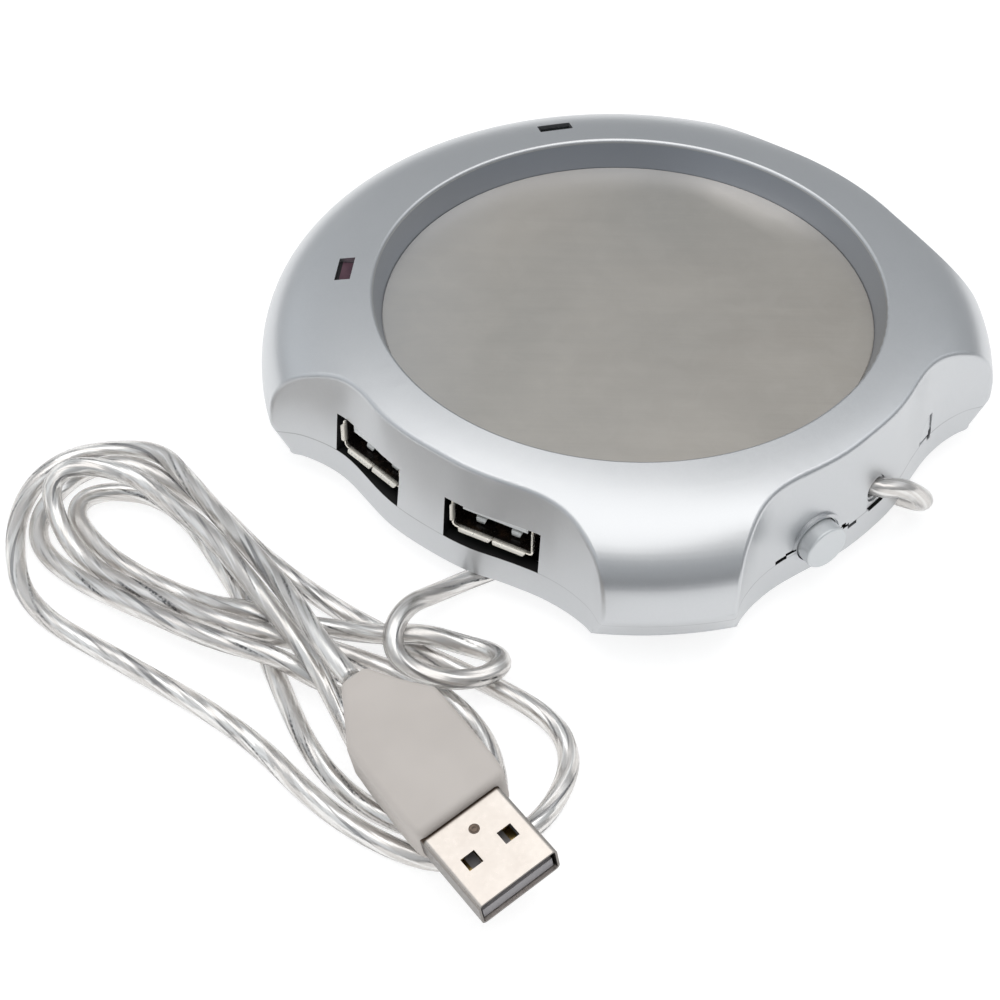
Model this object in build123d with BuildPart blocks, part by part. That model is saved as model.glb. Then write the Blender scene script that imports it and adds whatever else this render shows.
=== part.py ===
from build123d import *
import math
import os

os.makedirs("parts", exist_ok=True)

# ---------------------------------------------------------------------------
# Electric mug warmer with a four-socket USB hub in its base, and its cord.
# Origin: on the axis of the mug well, in the plane the rubber feet stand on.
# +Z up. Two USB sockets face -X and two face +X; the power button, the cord
# and the DC jack are in the recess that faces -Y. Millimetres and degrees.
# ---------------------------------------------------------------------------

# --- driving dimensions ------------------------------------------------------
R = 39.0                    # radius of the well at its rim
FOOT_H = 3.3                # height of the rubber feet under the base
BODY_H = 19.5               # rim top to underside of the base
BASE_Z = FOOT_H
RIM_Z = FOOT_H + BODY_H
SEAM_Z = 7.6                # joint between top cover and base cover
WALL = 2.0
FLOOR_T = 1.8
FLOOR_Z = BASE_Z + FLOOR_T
MAX_R = 1.455 * R           # widest radius of the dome
MAX_Z = RIM_Z - 0.345 * R
BASE_R = 1.392 * R          # radius of the underside at the lobes

PLATE_TOP = 18.27           # heating plate
PLATE_T = 1.2
PLATE_R = 39.2
PLATE_STEP = 0.25           # the plate's flange is this much below its top face
PLATE_FACE_R = 37.6
WELL_LOW_R = 37.75          # well wall at the plate
LIP_RIB_R = 39.4            # rib that locates the plate
WELL_OUT_R = 41.5
LIP_RIB_Z = 17.12

# side recesses. The two whose walls are seen are given as half outlines in plan,
# (outward, sideways) from the recess's own direction, at the underside and near the
# rim. The one at the back is a round part, half angle, radius at the underside,
# radius and angle of the concave sweep out of it.
WALL_LOW = [(48.05, 0.0), (47.9, 4.5), (47.45, 8.0), (46.4, 12.0), (45.75, 15.0), (45.2, 18.0),
            (44.95, 21.0), (45.0, 24.0), (45.25, 26.0), (45.75, 28.0), (46.5, 29.5), (47.5, 31.2), (48.8, 33.2)]
WALL_HIGH = [(46.1, 0.0), (46.0, 4.5), (45.6, 8.0), (44.75, 12.0), (44.0, 15.0), (43.5, 18.0),
             (43.5, 21.0), (44.15, 24.0), (44.9, 26.0), (45.75, 28.0), (46.5, 29.5), (47.5, 31.2), (48.8, 33.2)]
WALL_HIGH_Z = 21.7
FREE_SCOOPS = [(180.0, 0.7), (-94.5, 0.0)]     # azimuth, extra depth of its clockwise end
SCOOPS = [(-10.7, 12.3, 1.31 * R, 120.0, 20.0)]
SCOOP_DRAFT = 7.6           # the wall leans inwards going up
SCOOP_EDGE = 0.8            # rounding of the recess's upper edge

CASE_POSTS = [-136.75, -47.75, 40.0, 140.0]
CASE_POST_R = 48.0
RING_BOSSES = [-128.0, -56.5, 62.0, 131.5]
RING_BOSS_R = 43.6
BOARD_POSTS = [-150.0, -60.0, 30.0, 100.0]
BOARD_POST_R = 33.0

PCB_Z = 7.6
PCB_T = 1.6
PCB_TOP = PCB_Z + PCB_T
PCB_R = 40.5

# USB sockets: lip centre (x, y), direction the mouth faces, azimuth of the opening
PORTS = [
    ((-45.42, -10.19), -169.5, -167.3),
    ((-44.85, 12.88), 172.0, 163.3),
    ((47.55, 3.30), -4.5, 3.9),
    ((43.36, -19.78), -17.5, -24.9),
]
PORT_W = 15.4               # opening in the cover's skirt
PORT_TOP = 14.6
SHELL_IN_W = 12.5
SHELL_IN_H = 5.12
SHELL_T = 0.3
SHELL_FLOOR = 9.85          # inner floor of a socket's shell
SHELL_DEPTH = 14.0

BUTTON_AZ = -108.1
BUTTON_Z = 8.4
BUTTON_R = 3.5
BUTTON_HOLE_R = 3.68
BUTTON_FACE = 49.9          # distance of its face from the well's axis
BUTTON_BACK = 42.9
BUTTON_TRAVEL = 1.6
PLUNGER_R = 1.5

JACK_BORE_R = 1.15

CORD_D = 2.9
CORD_HOLE_R = 2.2
CORD_EXIT_AZ = -93.0
CORD_EXIT_Z = 10.5

# indicator windows: radius and azimuth of the centre, radial and tangential size
WINDOWS = {"heat": (43.85, 123.0, 2.45, 5.45), "hub": (45.40, 52.2, 2.60, 5.60)}


# the cord's route, from the grip in the cover, under the base, through its folded loops to the plug
GRIP_BACK = 40.8
GRIP_FRONT = 44.0
BOARD_TOP = 9.2
CORD_POINTS = [
(-2.3, -43.94, 10.5), (-2.49, -47.53, 10.5), (0.15, -49.6, 10.35), (3.17, -51.27, 7.65), (5.7, -51.7, 4.7),
    (7, -50.2, 2.25), (6.9, -45.8, 1.47), (4.33, -38.55, 1.47), (-1.17, -32.66, 1.47), (-9.84, -27.34, 1.6),
    (-22.48, -20.21, 1.57), (-35.87, -12.52, 1.47), (-45.94, -8.12, 1.47), (-54.38, -6.3, 3.04), (-60.01, -7.32, 6.71),
    (-64.67, -8.64, 7.75), (-67.46, -10.49, 6.6), (-68.22, -13.56, 5.33), (-66.28, -18.96, 4.61), (-62.91, -22.4, 4.62),
    (-59.9, -23.15, 4.4), (-57.75, -22.15, 3.5), (-56.9, -19.6, 2.6), (-58.15, -15.7, 2.36), (-61.62, -11.14, 4.61),
    (-65.04, -6.78, 4.21), (-67.03, 0.41, 1.81), (-71.39, 6.3, 3.06), (-74.09, 10.45, 5.06), (-75.13, 17.27, 1.98),
    (-76.81, 26.58, 1.47), (-77.36, 34.63, 1.47), (-76.55, 40.97, 1.47), (-75.05, 45.66, 1.74), (-72.79, 47.39, 1.96),
    (-70.22, 47.31, 1.91), (-66.74, 44.85, 1.58), (-64.08, 39.74, 1.47), (-64.35, 32.75, 1.47), (-68.22, 22.84, 3.09),
    (-71.75, 12.96, 1.47), (-79.86, -1.15, 1.47), (-86.22, -12.97, 2.53), (-87.36, -21.77, 1.47), (-86.11, -29.54, 1.55),
    (-83.4, -34.81, 1.47), (-80.19, -36.89, 1.47), (-76.4, -36.38, 1.57), (-71.55, -32.38, 1.84), (-67.55, -25.67, 1.59),
    (-66.16, -16.13, 1.58), (-69.38, -3.25, 1.47), (-74.73, 4.56, 4.48), (-77.84, 12.4, 4.48), (-79.57, 24.75, 2.76),
    (-80.48, 33.7, 1.56), (-79.78, 40.48, 1.68), (-78.13, 45.86, 3.31), (-76.33, 48.94, 5.93), (-74.32, 49.51, 7.42),
    (-71.87, 48.56, 8.16), (-68.78, 45.08, 7.91), (-66.82, 39.5, 7.27), (-67.42, 32.25, 7.03), (-68.57, 22.71, 7.58),
    (-72.57, 9.58, 7.74), (-75.44, -2.5, 6.33), (-78.44, -10.49, 3.75), (-81.17, -16.84, 1.94), (-82.4, -22.43, 1.75),
    (-81.57, -26.42, 1.47), (-79.36, -28.21, 1.47), (-75.89, -28.33, 1.71), (-71.98, -25.7, 1.89), (-70.66, -20.67, 1.71),
    (-72.63, -13.32, 1.47), (-75.58, -4.04, 1.79), (-77.62, 1.43, 4.85), (-80.79, 11.11, 4.2), (-82.3, 21.36, 3.59),
    (-83.65, 34.83, 1.78), (-82.91, 45.34, 1.47), (-77.51, 50.99, 1.47), (-69.58, 52.78, 1.58), (-64.39, 50.93, 1.91),
    (-61.66, 46.99, 2.09), (-60.53, 40.17, 1.47), (-60.68, 30.47, 1.99), (-63.17, 19.4, 1.47), (-64.11, 3.54, 1.47),
    (-62.34, -13.37, 1.47), (-60.36, -25.34, 1.47), (-60.68, -34.75, 1.69), (-65.67, -40.51, 1.47), (-76.65, -42.66, 1.54),
    (-86.9, -37.92, 1.47), (-90.15, -30.12, 1.55), (-90.91, -17.83, 1.47), (-88.05, -2.59, 1.47), (-89.99, 18.81, 1.57),
    (-91.96, 37.74, 1.47), (-83.81, 50.02, 1.48), (-74.65, 56.49, 1.47), (-66.77, 56.67, 1.62), (-60.95, 52.59, 1.47),
    (-57.88, 45.14, 3.37), (-61.12, 35.48, 5.17), (-64.46, 23.92, 5.75), (-68.65, 11.36, 8), (-71.9, 3.5, 9.8),
    (-74.35, -2, 10.55), (-76.48, -7.86, 10.71), (-77.79, -13, 10.56),
]

# the plug: origin at the bottom centre of its shell where the shell leaves the overmould
PLUG_ORIGIN = (-84.01793, -37.27783, 5.55128)
PLUG_NOSE = (-0.24588, -0.96888, -0.02867)
PLUG_SIDE = (0.95122, -0.24687, 0.18503)
PLUG_W = 12.0
SHELL_HIGH = 4.5
PLUG_BARE = 11.9            # bare length of the shell
OVERMOLD_LOW = -1.3
OVERMOLD_HIGH = 6.0
OVERMOLD_OUTLINE = [(-6.2, 0), (-6.5, -3), (-6.2, -12), (-5.9, -16.4), (-2.9, -21.6), (-0.9, -25.2),
                    (3.0, -25.2), (5.3, -20.9), (8.3, -16.4), (8.2, -10), (7.9, -3), (7.5, 0)]


def ring_point(r, az):
    return (r * math.cos(math.radians(az)), r * math.sin(math.radians(az)))


def radial_plane(az, r=0.0, z=0.0):
    """Plane whose normal points outwards at an azimuth: local x tangential, local y up."""
    c, s = math.cos(math.radians(az)), math.sin(math.radians(az))
    return Plane(origin=(r * c, r * s, z), x_dir=(-s, c, 0), z_dir=(c, s, 0))


# --- outlines -----------------------------------------------------------------
def dome_half_section(inset, low_z):
    """Half section of the dome with its well, set in from the outer skin."""
    with BuildSketch(Plane.XZ) as section:
        with BuildLine():
            low_r = BASE_R + 0.08 - inset
            Line((0, low_z), (low_r - 0.68, low_z))
            if inset == 0:
                ThreePointArc((low_r - 0.68, low_z), (low_r - 0.2, low_z + 0.2), (low_r, low_z + 0.62))
                start = (low_r, low_z + 0.62)
            else:
                Line((low_r - 0.68, low_z), (low_r, low_z + 0.62))
                start = (low_r, low_z + 0.62)
            Spline([start, (MAX_R - 0.6 - inset, SEAM_Z - 0.2), (MAX_R - inset, MAX_Z)], tangents=[(0.55, 1), (0, 1)])
            if inset == 0:
                Bezier([(MAX_R, MAX_Z), (MAX_R, RIM_Z - 0.1604 * R), (1.3968 * R, RIM_Z - 0.0417 * R), (R + 0.5, RIM_Z)])
                ThreePointArc((R + 0.5, RIM_Z), (R + 0.15, RIM_Z - 0.19), (R, RIM_Z - 0.55))
                Line((R, RIM_Z - 0.55), (WELL_LOW_R, PLATE_TOP))
                Line((WELL_LOW_R, PLATE_TOP), (0, PLATE_TOP))
                Line((0, PLATE_TOP), (0, low_z))
            else:
                top_z = RIM_Z - 0.06 - inset
                Bezier([(MAX_R - inset, MAX_Z), (MAX_R - inset, RIM_Z - 0.1604 * R - 0.6 * inset),
                        (1.3968 * R - 0.6 * inset, RIM_Z - 0.0417 * R - inset), (WELL_OUT_R, top_z)])
                Line((WELL_OUT_R, top_z), (WELL_OUT_R, LIP_RIB_Z))
                Line((WELL_OUT_R, LIP_RIB_Z), (LIP_RIB_R, LIP_RIB_Z))
                Line((LIP_RIB_R, LIP_RIB_Z), (LIP_RIB_R, PLATE_TOP - PLATE_STEP))
                Line((LIP_RIB_R, PLATE_TOP - PLATE_STEP), (WELL_LOW_R, PLATE_TOP - PLATE_STEP))
                Line((WELL_LOW_R, PLATE_TOP - PLATE_STEP), (WELL_LOW_R, PLATE_TOP))
                Line((WELL_LOW_R, PLATE_TOP), (0, PLATE_TOP))
                Line((0, PLATE_TOP), (0, low_z))
        make_face()
    return section.sketch


def scoop_outline(scoop, shift, z):
    """Plan outline of one recess at a height: round middle, concave sweep, straight run out."""
    az, half_angle, radius, blend_r, blend_angle = scoop
    r0 = radius - shift
    rb = blend_r + shift
    ta = math.radians(half_angle)
    phi = math.radians(blend_angle)
    side = {}
    for s in (1, -1):
        u = (math.cos(ta), s * math.sin(ta))
        v = (-math.sin(ta), s * math.cos(ta))
        pts = []
        for p in (0.0, phi / 2, phi):
            du, dv = r0 + rb * (1 - math.cos(p)), rb * math.sin(p)
            pts.append((du * u[0] + dv * v[0], du * u[1] + dv * v[1]))
        du, dv = 26.0 * math.sin(phi), 26.0 * math.cos(phi)
        pts.append((pts[2][0] + du * u[0] + dv * v[0], pts[2][1] + du * u[1] + dv * v[1]))
        side[s] = pts
    a, b = side[1], side[-1]
    with BuildSketch(Plane.XY.rotated((0, 0, az)).offset(z)) as outline:
        with BuildLine():
            ThreePointArc(b[0], (r0, 0), a[0])
            ThreePointArc(a[0], a[1], a[2])
            Line(a[2], a[3])
            Line(a[3], (95, a[3][1]))
            Line((95, a[3][1]), (95, b[3][1]))
            Line((95, b[3][1]), b[3])
            Line(b[3], b[2])
            ThreePointArc(b[2], b[1], b[0])
        make_face()
    return outline.sketch


def free_outline(scoop, shift, z):
    """Plan outline of a recess given by its half outlines, at a height."""
    az, extra = scoop
    w = (z - BASE_Z) / (WALL_HIGH_Z - BASE_Z)
    half = [(a[0] + w * (b[0] - a[0]), a[1]) for a, b in zip(WALL_LOW, WALL_HIGH)]
    line = [(x - extra * min(1.0, max(0.0, (y - 12.0) / 8.0)), -y) for x, y in reversed(half)] + half[1:]
    moved = []
    for i, (x, y) in enumerate(line):
        (x0, y0), (x1, y1) = line[max(i - 1, 0)], line[min(i + 1, len(line) - 1)]
        run = math.hypot(x1 - x0, y1 - y0)
        moved.append((x - shift * (y1 - y0) / run, y + shift * (x1 - x0) / run))
    first, last = moved[0], moved[-1]
    start, end = (first[0] + 4.0, first[1] - 5.6), (last[0] + 4.0, last[1] + 5.6)
    with BuildSketch(Plane.XY.rotated((0, 0, az)).offset(z)) as outline:
        with BuildLine():
            Line(start, first)
            Spline(*moved)
            Line(last, end)
            Line(end, (95, end[1]))
            Line((95, end[1]), (95, start[1]))
            Line((95, start[1]), start)
        make_face()
    return outline.sketch


def scoop_cutter(scoop, shift):
    """Solid of one recess, its wall moved towards the well by shift."""
    low, high = BASE_Z - 1.0, RIM_Z + 2.0
    with BuildPart() as cutter:
        if len(scoop) == 2:
            add(free_outline(scoop, shift, low))
            add(free_outline(scoop, shift, high))
        else:
            lift = math.tan(math.radians(SCOOP_DRAFT))
            add(scoop_outline(scoop, shift + (low - BASE_Z) * lift, low))
            add(scoop_outline(scoop, shift + (high - BASE_Z) * lift, high))
        loft(ruled=len(scoop) == 2)
    return cutter.part


# --- the closed outer form and the space inside it -------------------------------
with BuildPart() as outer_form:
    add(dome_half_section(0, BASE_Z))
    revolve(axis=Axis.Z)
    for scoop in FREE_SCOOPS + SCOOPS:
        add(scoop_cutter(scoop, 0.0), mode=Mode.SUBTRACT)
    rim_edges = [
        e for e in outer_form.edges().filter_by(GeomType.BSPLINE)
        if BASE_Z + 2 < e.center().Z < RIM_Z - 0.3 and e.length > 5
        and not (abs((e @ 0).Y) < 0.3 and abs((e @ 1).Y) < 0.3)
    ]
    fillet(rim_edges, SCOOP_EDGE)

with BuildPart() as inner_space:
    add(dome_half_section(WALL, FLOOR_Z))
    revolve(axis=Axis.Z)
    for scoop in FREE_SCOOPS + SCOOPS:
        add(scoop_cutter(scoop, WALL), mode=Mode.SUBTRACT)

with BuildPart() as boss_limit:
    add(dome_half_section(0.9, BASE_Z + 0.5))
    revolve(axis=Axis.Z)
    for scoop in FREE_SCOOPS + SCOOPS:
        add(scoop_cutter(scoop, 0.9), mode=Mode.SUBTRACT)

with BuildPart() as top_bosses:
    with BuildSketch(Plane.XY.offset(SEAM_Z)):
        for az in CASE_POSTS:
            with Locations(ring_point(CASE_POST_R, az)):
                Circle(2.8)
    extrude(amount=15)
    with BuildSketch(Plane.XY.offset(PLATE_TOP - PLATE_T)):
        for az in RING_BOSSES:
            with Locations(ring_point(RING_BOSS_R, az)):
                Circle(2.2)
    extrude(amount=6)
    add(boss_limit.part, mode=Mode.INTERSECT)

# --- top cover -------------------------------------------------------------------
with BuildPart() as top_cover:
    add(outer_form.part)
    split(bisect_by=Plane.XY.offset(SEAM_Z), keep=Keep.TOP)
    add(inner_space.part, mode=Mode.SUBTRACT)
    add(top_bosses.part)
    # socket windows, open down to the joint
    for centre, facing, opening_az in PORTS:
        with BuildSketch(radial_plane(opening_az, 38.0)):
            with Locations((0, (SEAM_Z - 1 + PORT_TOP) / 2)):
                Rectangle(PORT_W, PORT_TOP - SEAM_Z + 1)
        extrude(amount=16, mode=Mode.SUBTRACT)
        c, s = math.cos(math.radians(facing)), math.sin(math.radians(facing))
        pocket = Plane(origin=(centre[0], centre[1], SHELL_FLOOR + SHELL_IN_H / 2), x_dir=(-s, c, 0), z_dir=(c, s, 0))
        with BuildSketch(pocket.offset(-0.75)):
            Rectangle(SHELL_IN_W + 2 * SHELL_T + 0.3, SHELL_IN_H + 2 * SHELL_T + 0.3)
        extrude(amount=-SHELL_DEPTH, mode=Mode.SUBTRACT)
    # collar round the upper half of the button
    with BuildSketch(radial_plane(BUTTON_AZ, 45.9, BUTTON_Z)):
        Circle(4.45)
        Circle(3.9, mode=Mode.SUBTRACT)
        with Locations((0, -5.0)):
            Rectangle(12, 10 - 0.6, mode=Mode.SUBTRACT)
    extrude(amount=1.75)
    # button, cord and indicator openings
    with BuildSketch(radial_plane(BUTTON_AZ, 40.0, BUTTON_Z)):
        Circle(BUTTON_HOLE_R)
    extrude(amount=14, mode=Mode.SUBTRACT)
    with BuildSketch(radial_plane(CORD_EXIT_AZ, 42.5, CORD_EXIT_Z)):
        Circle(CORD_HOLE_R)
        with Locations((0, -3.0)):
            Rectangle(2 * CORD_HOLE_R, 6.0)
    extrude(amount=8, mode=Mode.SUBTRACT)
    for r, az, radial, tangential in WINDOWS.values():
        with BuildSketch(Plane.XY.offset(16.0)):
            with Locations(Location((*ring_point(r, az), 0), (0, 0, az))):
                Rectangle(radial, tangential)
        extrude(amount=8, mode=Mode.SUBTRACT)
    # opening in front of the DC jack
    with BuildSketch(Plane((0, -40.0, 0), x_dir=(1, 0, 0), z_dir=(0, -1, 0))):
        with BuildLine():
            Polyline((12.3, 6.0), (12.3, 8.5), (15.2, 11.7), (16.0, 11.7), (16.0, 6.0), close=True)
        make_face()
    extrude(amount=10, mode=Mode.SUBTRACT)
    # crooked gaps of the joint beside the button, and the slit under the cord
    for t, z, length, height in ((-6.7, SEAM_Z + 0.3, 2.2, 0.7), (-4.85, SEAM_Z + 0.7, 1.9, 0.5),
                                 (4.8, SEAM_Z + 0.65, 1.5, 0.5), (5.6, SEAM_Z + 0.15, 1.3, 0.6)):
        with BuildSketch(radial_plane(BUTTON_AZ, 42.0)):
            with Locations((t, z)):
                Rectangle(length, height)
        extrude(amount=10, mode=Mode.SUBTRACT)
    # pilot holes of the screws
    with BuildSketch(Plane.XY.offset(SEAM_Z - 1)):
        for az in CASE_POSTS:
            with Locations(ring_point(CASE_POST_R, az)):
                Circle(1.25)
    extrude(amount=9.0, mode=Mode.SUBTRACT)
    with BuildSketch(Plane.XY.offset(PLATE_TOP - PLATE_T - 1)):
        for az in RING_BOSSES:
            with Locations(ring_point(RING_BOSS_R, az)):
                Circle(0.85)
    extrude(amount=3.6, mode=Mode.SUBTRACT)
top_cover.part.label = "top_cover"
export_step(top_cover.part, "parts/top_cover.step")

# --- base cover ------------------------------------------------------------------
with BuildPart() as base_cover:
    add(outer_form.part)
    split(bisect_by=Plane.XY.offset(SEAM_Z), keep=Keep.BOTTOM)
    add(inner_space.part, mode=Mode.SUBTRACT)
    # bosses for the case screws and the circuit board
    with BuildSketch(Plane.XY.offset(BASE_Z + 0.5)):
        for az in CASE_POSTS:
            with Locations(ring_point(CASE_POST_R, az)):
                Circle(3.6)
    extrude(amount=SEAM_Z - BASE_Z - 0.5)
    with BuildSketch(Plane.XY.offset(BASE_Z + 0.5)):
        for az in BOARD_POSTS:
            with Locations(ring_point(BOARD_POST_R, az)):
                Circle(2.4)
    extrude(amount=PCB_Z - BASE_Z - 0.5)
    # tongue that closes the cord's notch from below
    with BuildSketch(radial_plane(CORD_EXIT_AZ, 45.6)):
        with Locations((0, (SEAM_Z - 1.0 + CORD_EXIT_Z) / 2)):
            Rectangle(2 * CORD_HOLE_R - 0.1, CORD_EXIT_Z - SEAM_Z + 1.0)
    extrude(amount=1.7)
    with BuildSketch(radial_plane(CORD_EXIT_AZ, 42.5, CORD_EXIT_Z)):
        Circle(CORD_HOLE_R)
        with Locations((0, 3)):
            Rectangle(CORD_D + 1, 6)
    extrude(amount=8, mode=Mode.SUBTRACT)
    with BuildSketch(radial_plane(CORD_EXIT_AZ, 46.9)):
        with Locations((0.1, SEAM_Z - 0.15)):
            Rectangle(3.6, 0.5)
    extrude(amount=4, mode=Mode.SUBTRACT)
    # the button's lower half and the pocket under it
    with BuildSketch(radial_plane(BUTTON_AZ, 38.9, BUTTON_Z)):
        Circle(BUTTON_HOLE_R + 0.02)
    extrude(amount=14, mode=Mode.SUBTRACT)
    with BuildSketch(radial_plane(BUTTON_AZ, 40.6)):
        with Locations((0, 7.2)):
            Rectangle(10.6, 5.4)
    extrude(amount=4.7, mode=Mode.SUBTRACT)
    # small gap of the joint right of the button and at the DC jack
    with BuildSketch(radial_plane(BUTTON_AZ, 42.0)):
        with Locations((7.0, SEAM_Z - 0.3)):
            Rectangle(1.9, 0.65)
    extrude(amount=10, mode=Mode.SUBTRACT)
    with BuildSketch(Plane((0, -40.0, 0), x_dir=(1, 0, 0), z_dir=(0, -1, 0))):
        with Locations((15.4, SEAM_Z - 0.3)):
            Rectangle(0.9, 0.8)
    extrude(amount=10, mode=Mode.SUBTRACT)
    # screw holes, with the heads sunk into the underside
    with BuildSketch(Plane.XY.offset(BASE_Z - 1)):
        for az in CASE_POSTS:
            with Locations(ring_point(CASE_POST_R, az)):
                Circle(2.6)
    extrude(amount=3.0, mode=Mode.SUBTRACT)
    with BuildSketch(Plane.XY.offset(BASE_Z)):
        for az in CASE_POSTS:
            with Locations(ring_point(CASE_POST_R, az)):
                Circle(1.35)
    extrude(amount=6, mode=Mode.SUBTRACT)
    with BuildSketch(Plane.XY.offset(BASE_Z + 1.2)):
        for az in BOARD_POSTS:
            with Locations(ring_point(BOARD_POST_R, az)):
                Circle(0.95)
    extrude(amount=6, mode=Mode.SUBTRACT)
    # ventilation slots in the underside
    with BuildSketch(Plane.XY.offset(BASE_Z - 1)):
        with GridLocations(0, 4.0, 1, 5):
            SlotOverall(24, 1.6)
    extrude(amount=4, mode=Mode.SUBTRACT)
base_cover.part.label = "base_cover"
export_step(base_cover.part, "parts/base_cover.step")

# --- heating plate and what holds and heats it --------------------------------------
with BuildPart() as heating_plate:
    with BuildSketch(Plane.XY.offset(PLATE_TOP - PLATE_T)):
        Circle(PLATE_R)
    extrude(amount=PLATE_T - PLATE_STEP)
    with BuildSketch(Plane.XY.offset(PLATE_TOP - PLATE_STEP)):
        Circle(PLATE_FACE_R)
    extrude(amount=PLATE_STEP)
heating_plate.part.label = "heating_plate"
export_step(heating_plate.part, "parts/heating_plate.step")

RING_T = 0.9
RING_LOW = PLATE_TOP - PLATE_T - RING_T
with BuildPart() as plate_ring:
    with BuildSketch(Plane.XY.offset(RING_LOW)):
        Circle(39.0)
        for az in RING_BOSSES:
            with Locations(Location((*ring_point(41.0, az), 0), (0, 0, az))):
                Rectangle(6.0, 5.0)
            with Locations(ring_point(RING_BOSS_R, az)):
                Circle(2.5)
        Circle(33.5, mode=Mode.SUBTRACT)
        for az in RING_BOSSES:
            with Locations(ring_point(RING_BOSS_R, az)):
                Circle(1.0, mode=Mode.SUBTRACT)
    extrude(amount=RING_T)
plate_ring.part.label = "plate_retaining_ring"
export_step(plate_ring.part, "parts/plate_retaining_ring.step")

with BuildPart() as ring_screws:
    with BuildSketch(Plane.XY.offset(RING_LOW - 1.2)):
        for az in RING_BOSSES:
            with Locations(ring_point(RING_BOSS_R, az)):
                Circle(1.9)
    extrude(amount=1.2)
    with BuildSketch(Plane.XY.offset(RING_LOW)):
        for az in RING_BOSSES:
            with Locations(ring_point(RING_BOSS_R, az)):
                Circle(0.8)
    extrude(amount=3.2)
    with BuildSketch(Plane.XY.offset(RING_LOW - 1.2)):
        for az in RING_BOSSES:
            with Locations(Location((*ring_point(RING_BOSS_R, az), 0), (0, 0, az))):
                Rectangle(2.2, 0.5)
                Rectangle(0.5, 2.2)
    extrude(amount=0.6, mode=Mode.SUBTRACT)
ring_screws.part.label = "retaining_ring_screws"
export_step(ring_screws.part, "parts/retaining_ring_screws.step")

with BuildPart() as heater:
    with BuildSketch(Plane.XY.offset(PLATE_TOP - PLATE_T - 0.8)):
        Circle(31.0)
    extrude(amount=0.8)
heater.part.label = "heater_element"
export_step(heater.part, "parts/heater_element.step")

PAD_LOW = PLATE_TOP - PLATE_T - 2.0
with BuildPart() as pad:
    with BuildSketch(Plane.XY.offset(PAD_LOW)):
        Circle(30.0)
    extrude(amount=1.2)
pad.part.label = "insulation_pad"
export_step(pad.part, "parts/insulation_pad.step")

with BuildPart() as fuse:
    with BuildSketch(Plane((-5.0, 10.0, PAD_LOW - 1.65), x_dir=(0, 1, 0), z_dir=(1, 0, 0))):
        Circle(1.6)
    extrude(amount=10.0)
    with BuildSketch(Plane((-9.0, 10.0, PAD_LOW - 1.65), x_dir=(0, 1, 0), z_dir=(1, 0, 0))):
        Circle(0.35)
    extrude(amount=18.0)
fuse.part.label = "thermal_fuse"
export_step(fuse.part, "parts/thermal_fuse.step")

with BuildPart() as heater_leads:
    for y in (-6.0, -2.0):
        with BuildLine():
            lead = FilletPolyline((12.0, y, PCB_TOP), (12.0, y, 12.0), (6.0, y, 13.2), (6.0, y, PAD_LOW), radius=0.9)
        with BuildSketch(Plane.XY.offset(PCB_TOP)):
            with Locations((12.0, y)):
                Circle(0.6)
        sweep(path=lead)
heater_leads.part.label = "heater_leads"
export_step(heater_leads.part, "parts/heater_leads.step")

# --- circuit board and what stands on it ------------------------------------------------
with BuildPart() as board:
    with BuildSketch(Plane.XY.offset(PCB_Z)):
        Circle(PCB_R)
        for r, az, radial, tangential in WINDOWS.values():
            with Locations(Location((*ring_point(42.5, az), 0), (0, 0, az))):
                Rectangle(11.0, 8.4)
        for az in BOARD_POSTS:
            with Locations(ring_point(BOARD_POST_R, az)):
                Circle(1.2, mode=Mode.SUBTRACT)
        with Locations(Location((*ring_point(38.0, BUTTON_AZ), 0), (0, 0, BUTTON_AZ))):
            Rectangle(13.6, 8.4, mode=Mode.SUBTRACT)
        with Locations((14.3, -39.0)):
            Rectangle(7.6, 9.2, mode=Mode.SUBTRACT)
    extrude(amount=PCB_T)
board.part.label = "hub_circuit_board"
export_step(board.part, "parts/hub_circuit_board.step")

with BuildPart() as board_screws:
    with BuildSketch(Plane.XY.offset(PCB_TOP)):
        for az in BOARD_POSTS:
            with Locations(ring_point(BOARD_POST_R, az)):
                Circle(1.9)
    extrude(amount=1.3)
    with BuildSketch(Plane.XY.offset(PCB_TOP - 4.2)):
        for az in BOARD_POSTS:
            with Locations(ring_point(BOARD_POST_R, az)):
                Circle(0.9)
    extrude(amount=4.2)
    with BuildSketch(Plane.XY.offset(PCB_TOP + 0.7)):
        for az in BOARD_POSTS:
            with Locations(Location((*ring_point(BOARD_POST_R, az), 0), (0, 0, 20 + az))):
                Rectangle(2.2, 0.5)
                Rectangle(0.5, 2.2)
    extrude(amount=0.6, mode=Mode.SUBTRACT)
board_screws.part.label = "board_screws"
export_step(board_screws.part, "parts/board_screws.step")

with BuildPart() as chip:
    with BuildSketch(Plane.XY.offset(PCB_TOP + 0.15)):
        with Locations((-6.0, -4.0)):
            Rectangle(5.4, 10.2)
    extrude(amount=1.9)
    with BuildSketch(Plane.XY.offset(PCB_TOP)):
        with Locations((-6.0, -4.0)):
            with GridLocations(7.4, 1.27, 2, 7):
                Rectangle(2.2, 0.5)
    extrude(amount=0.35)
chip.part.label = "hub_controller_chip"
export_step(chip.part, "parts/hub_controller_chip.step")

with BuildPart() as crystal:
    with BuildSketch(Plane.XY.offset(PCB_TOP)):
        with Locations((4.0, -16.0)):
            SlotOverall(11.0, 4.6)
    extrude(amount=3.4)
    fillet(crystal.faces().sort_by(Axis.Z)[-1].edges(), 0.6)
crystal.part.label = "clock_crystal"
export_step(crystal.part, "parts/clock_crystal.step")

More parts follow.
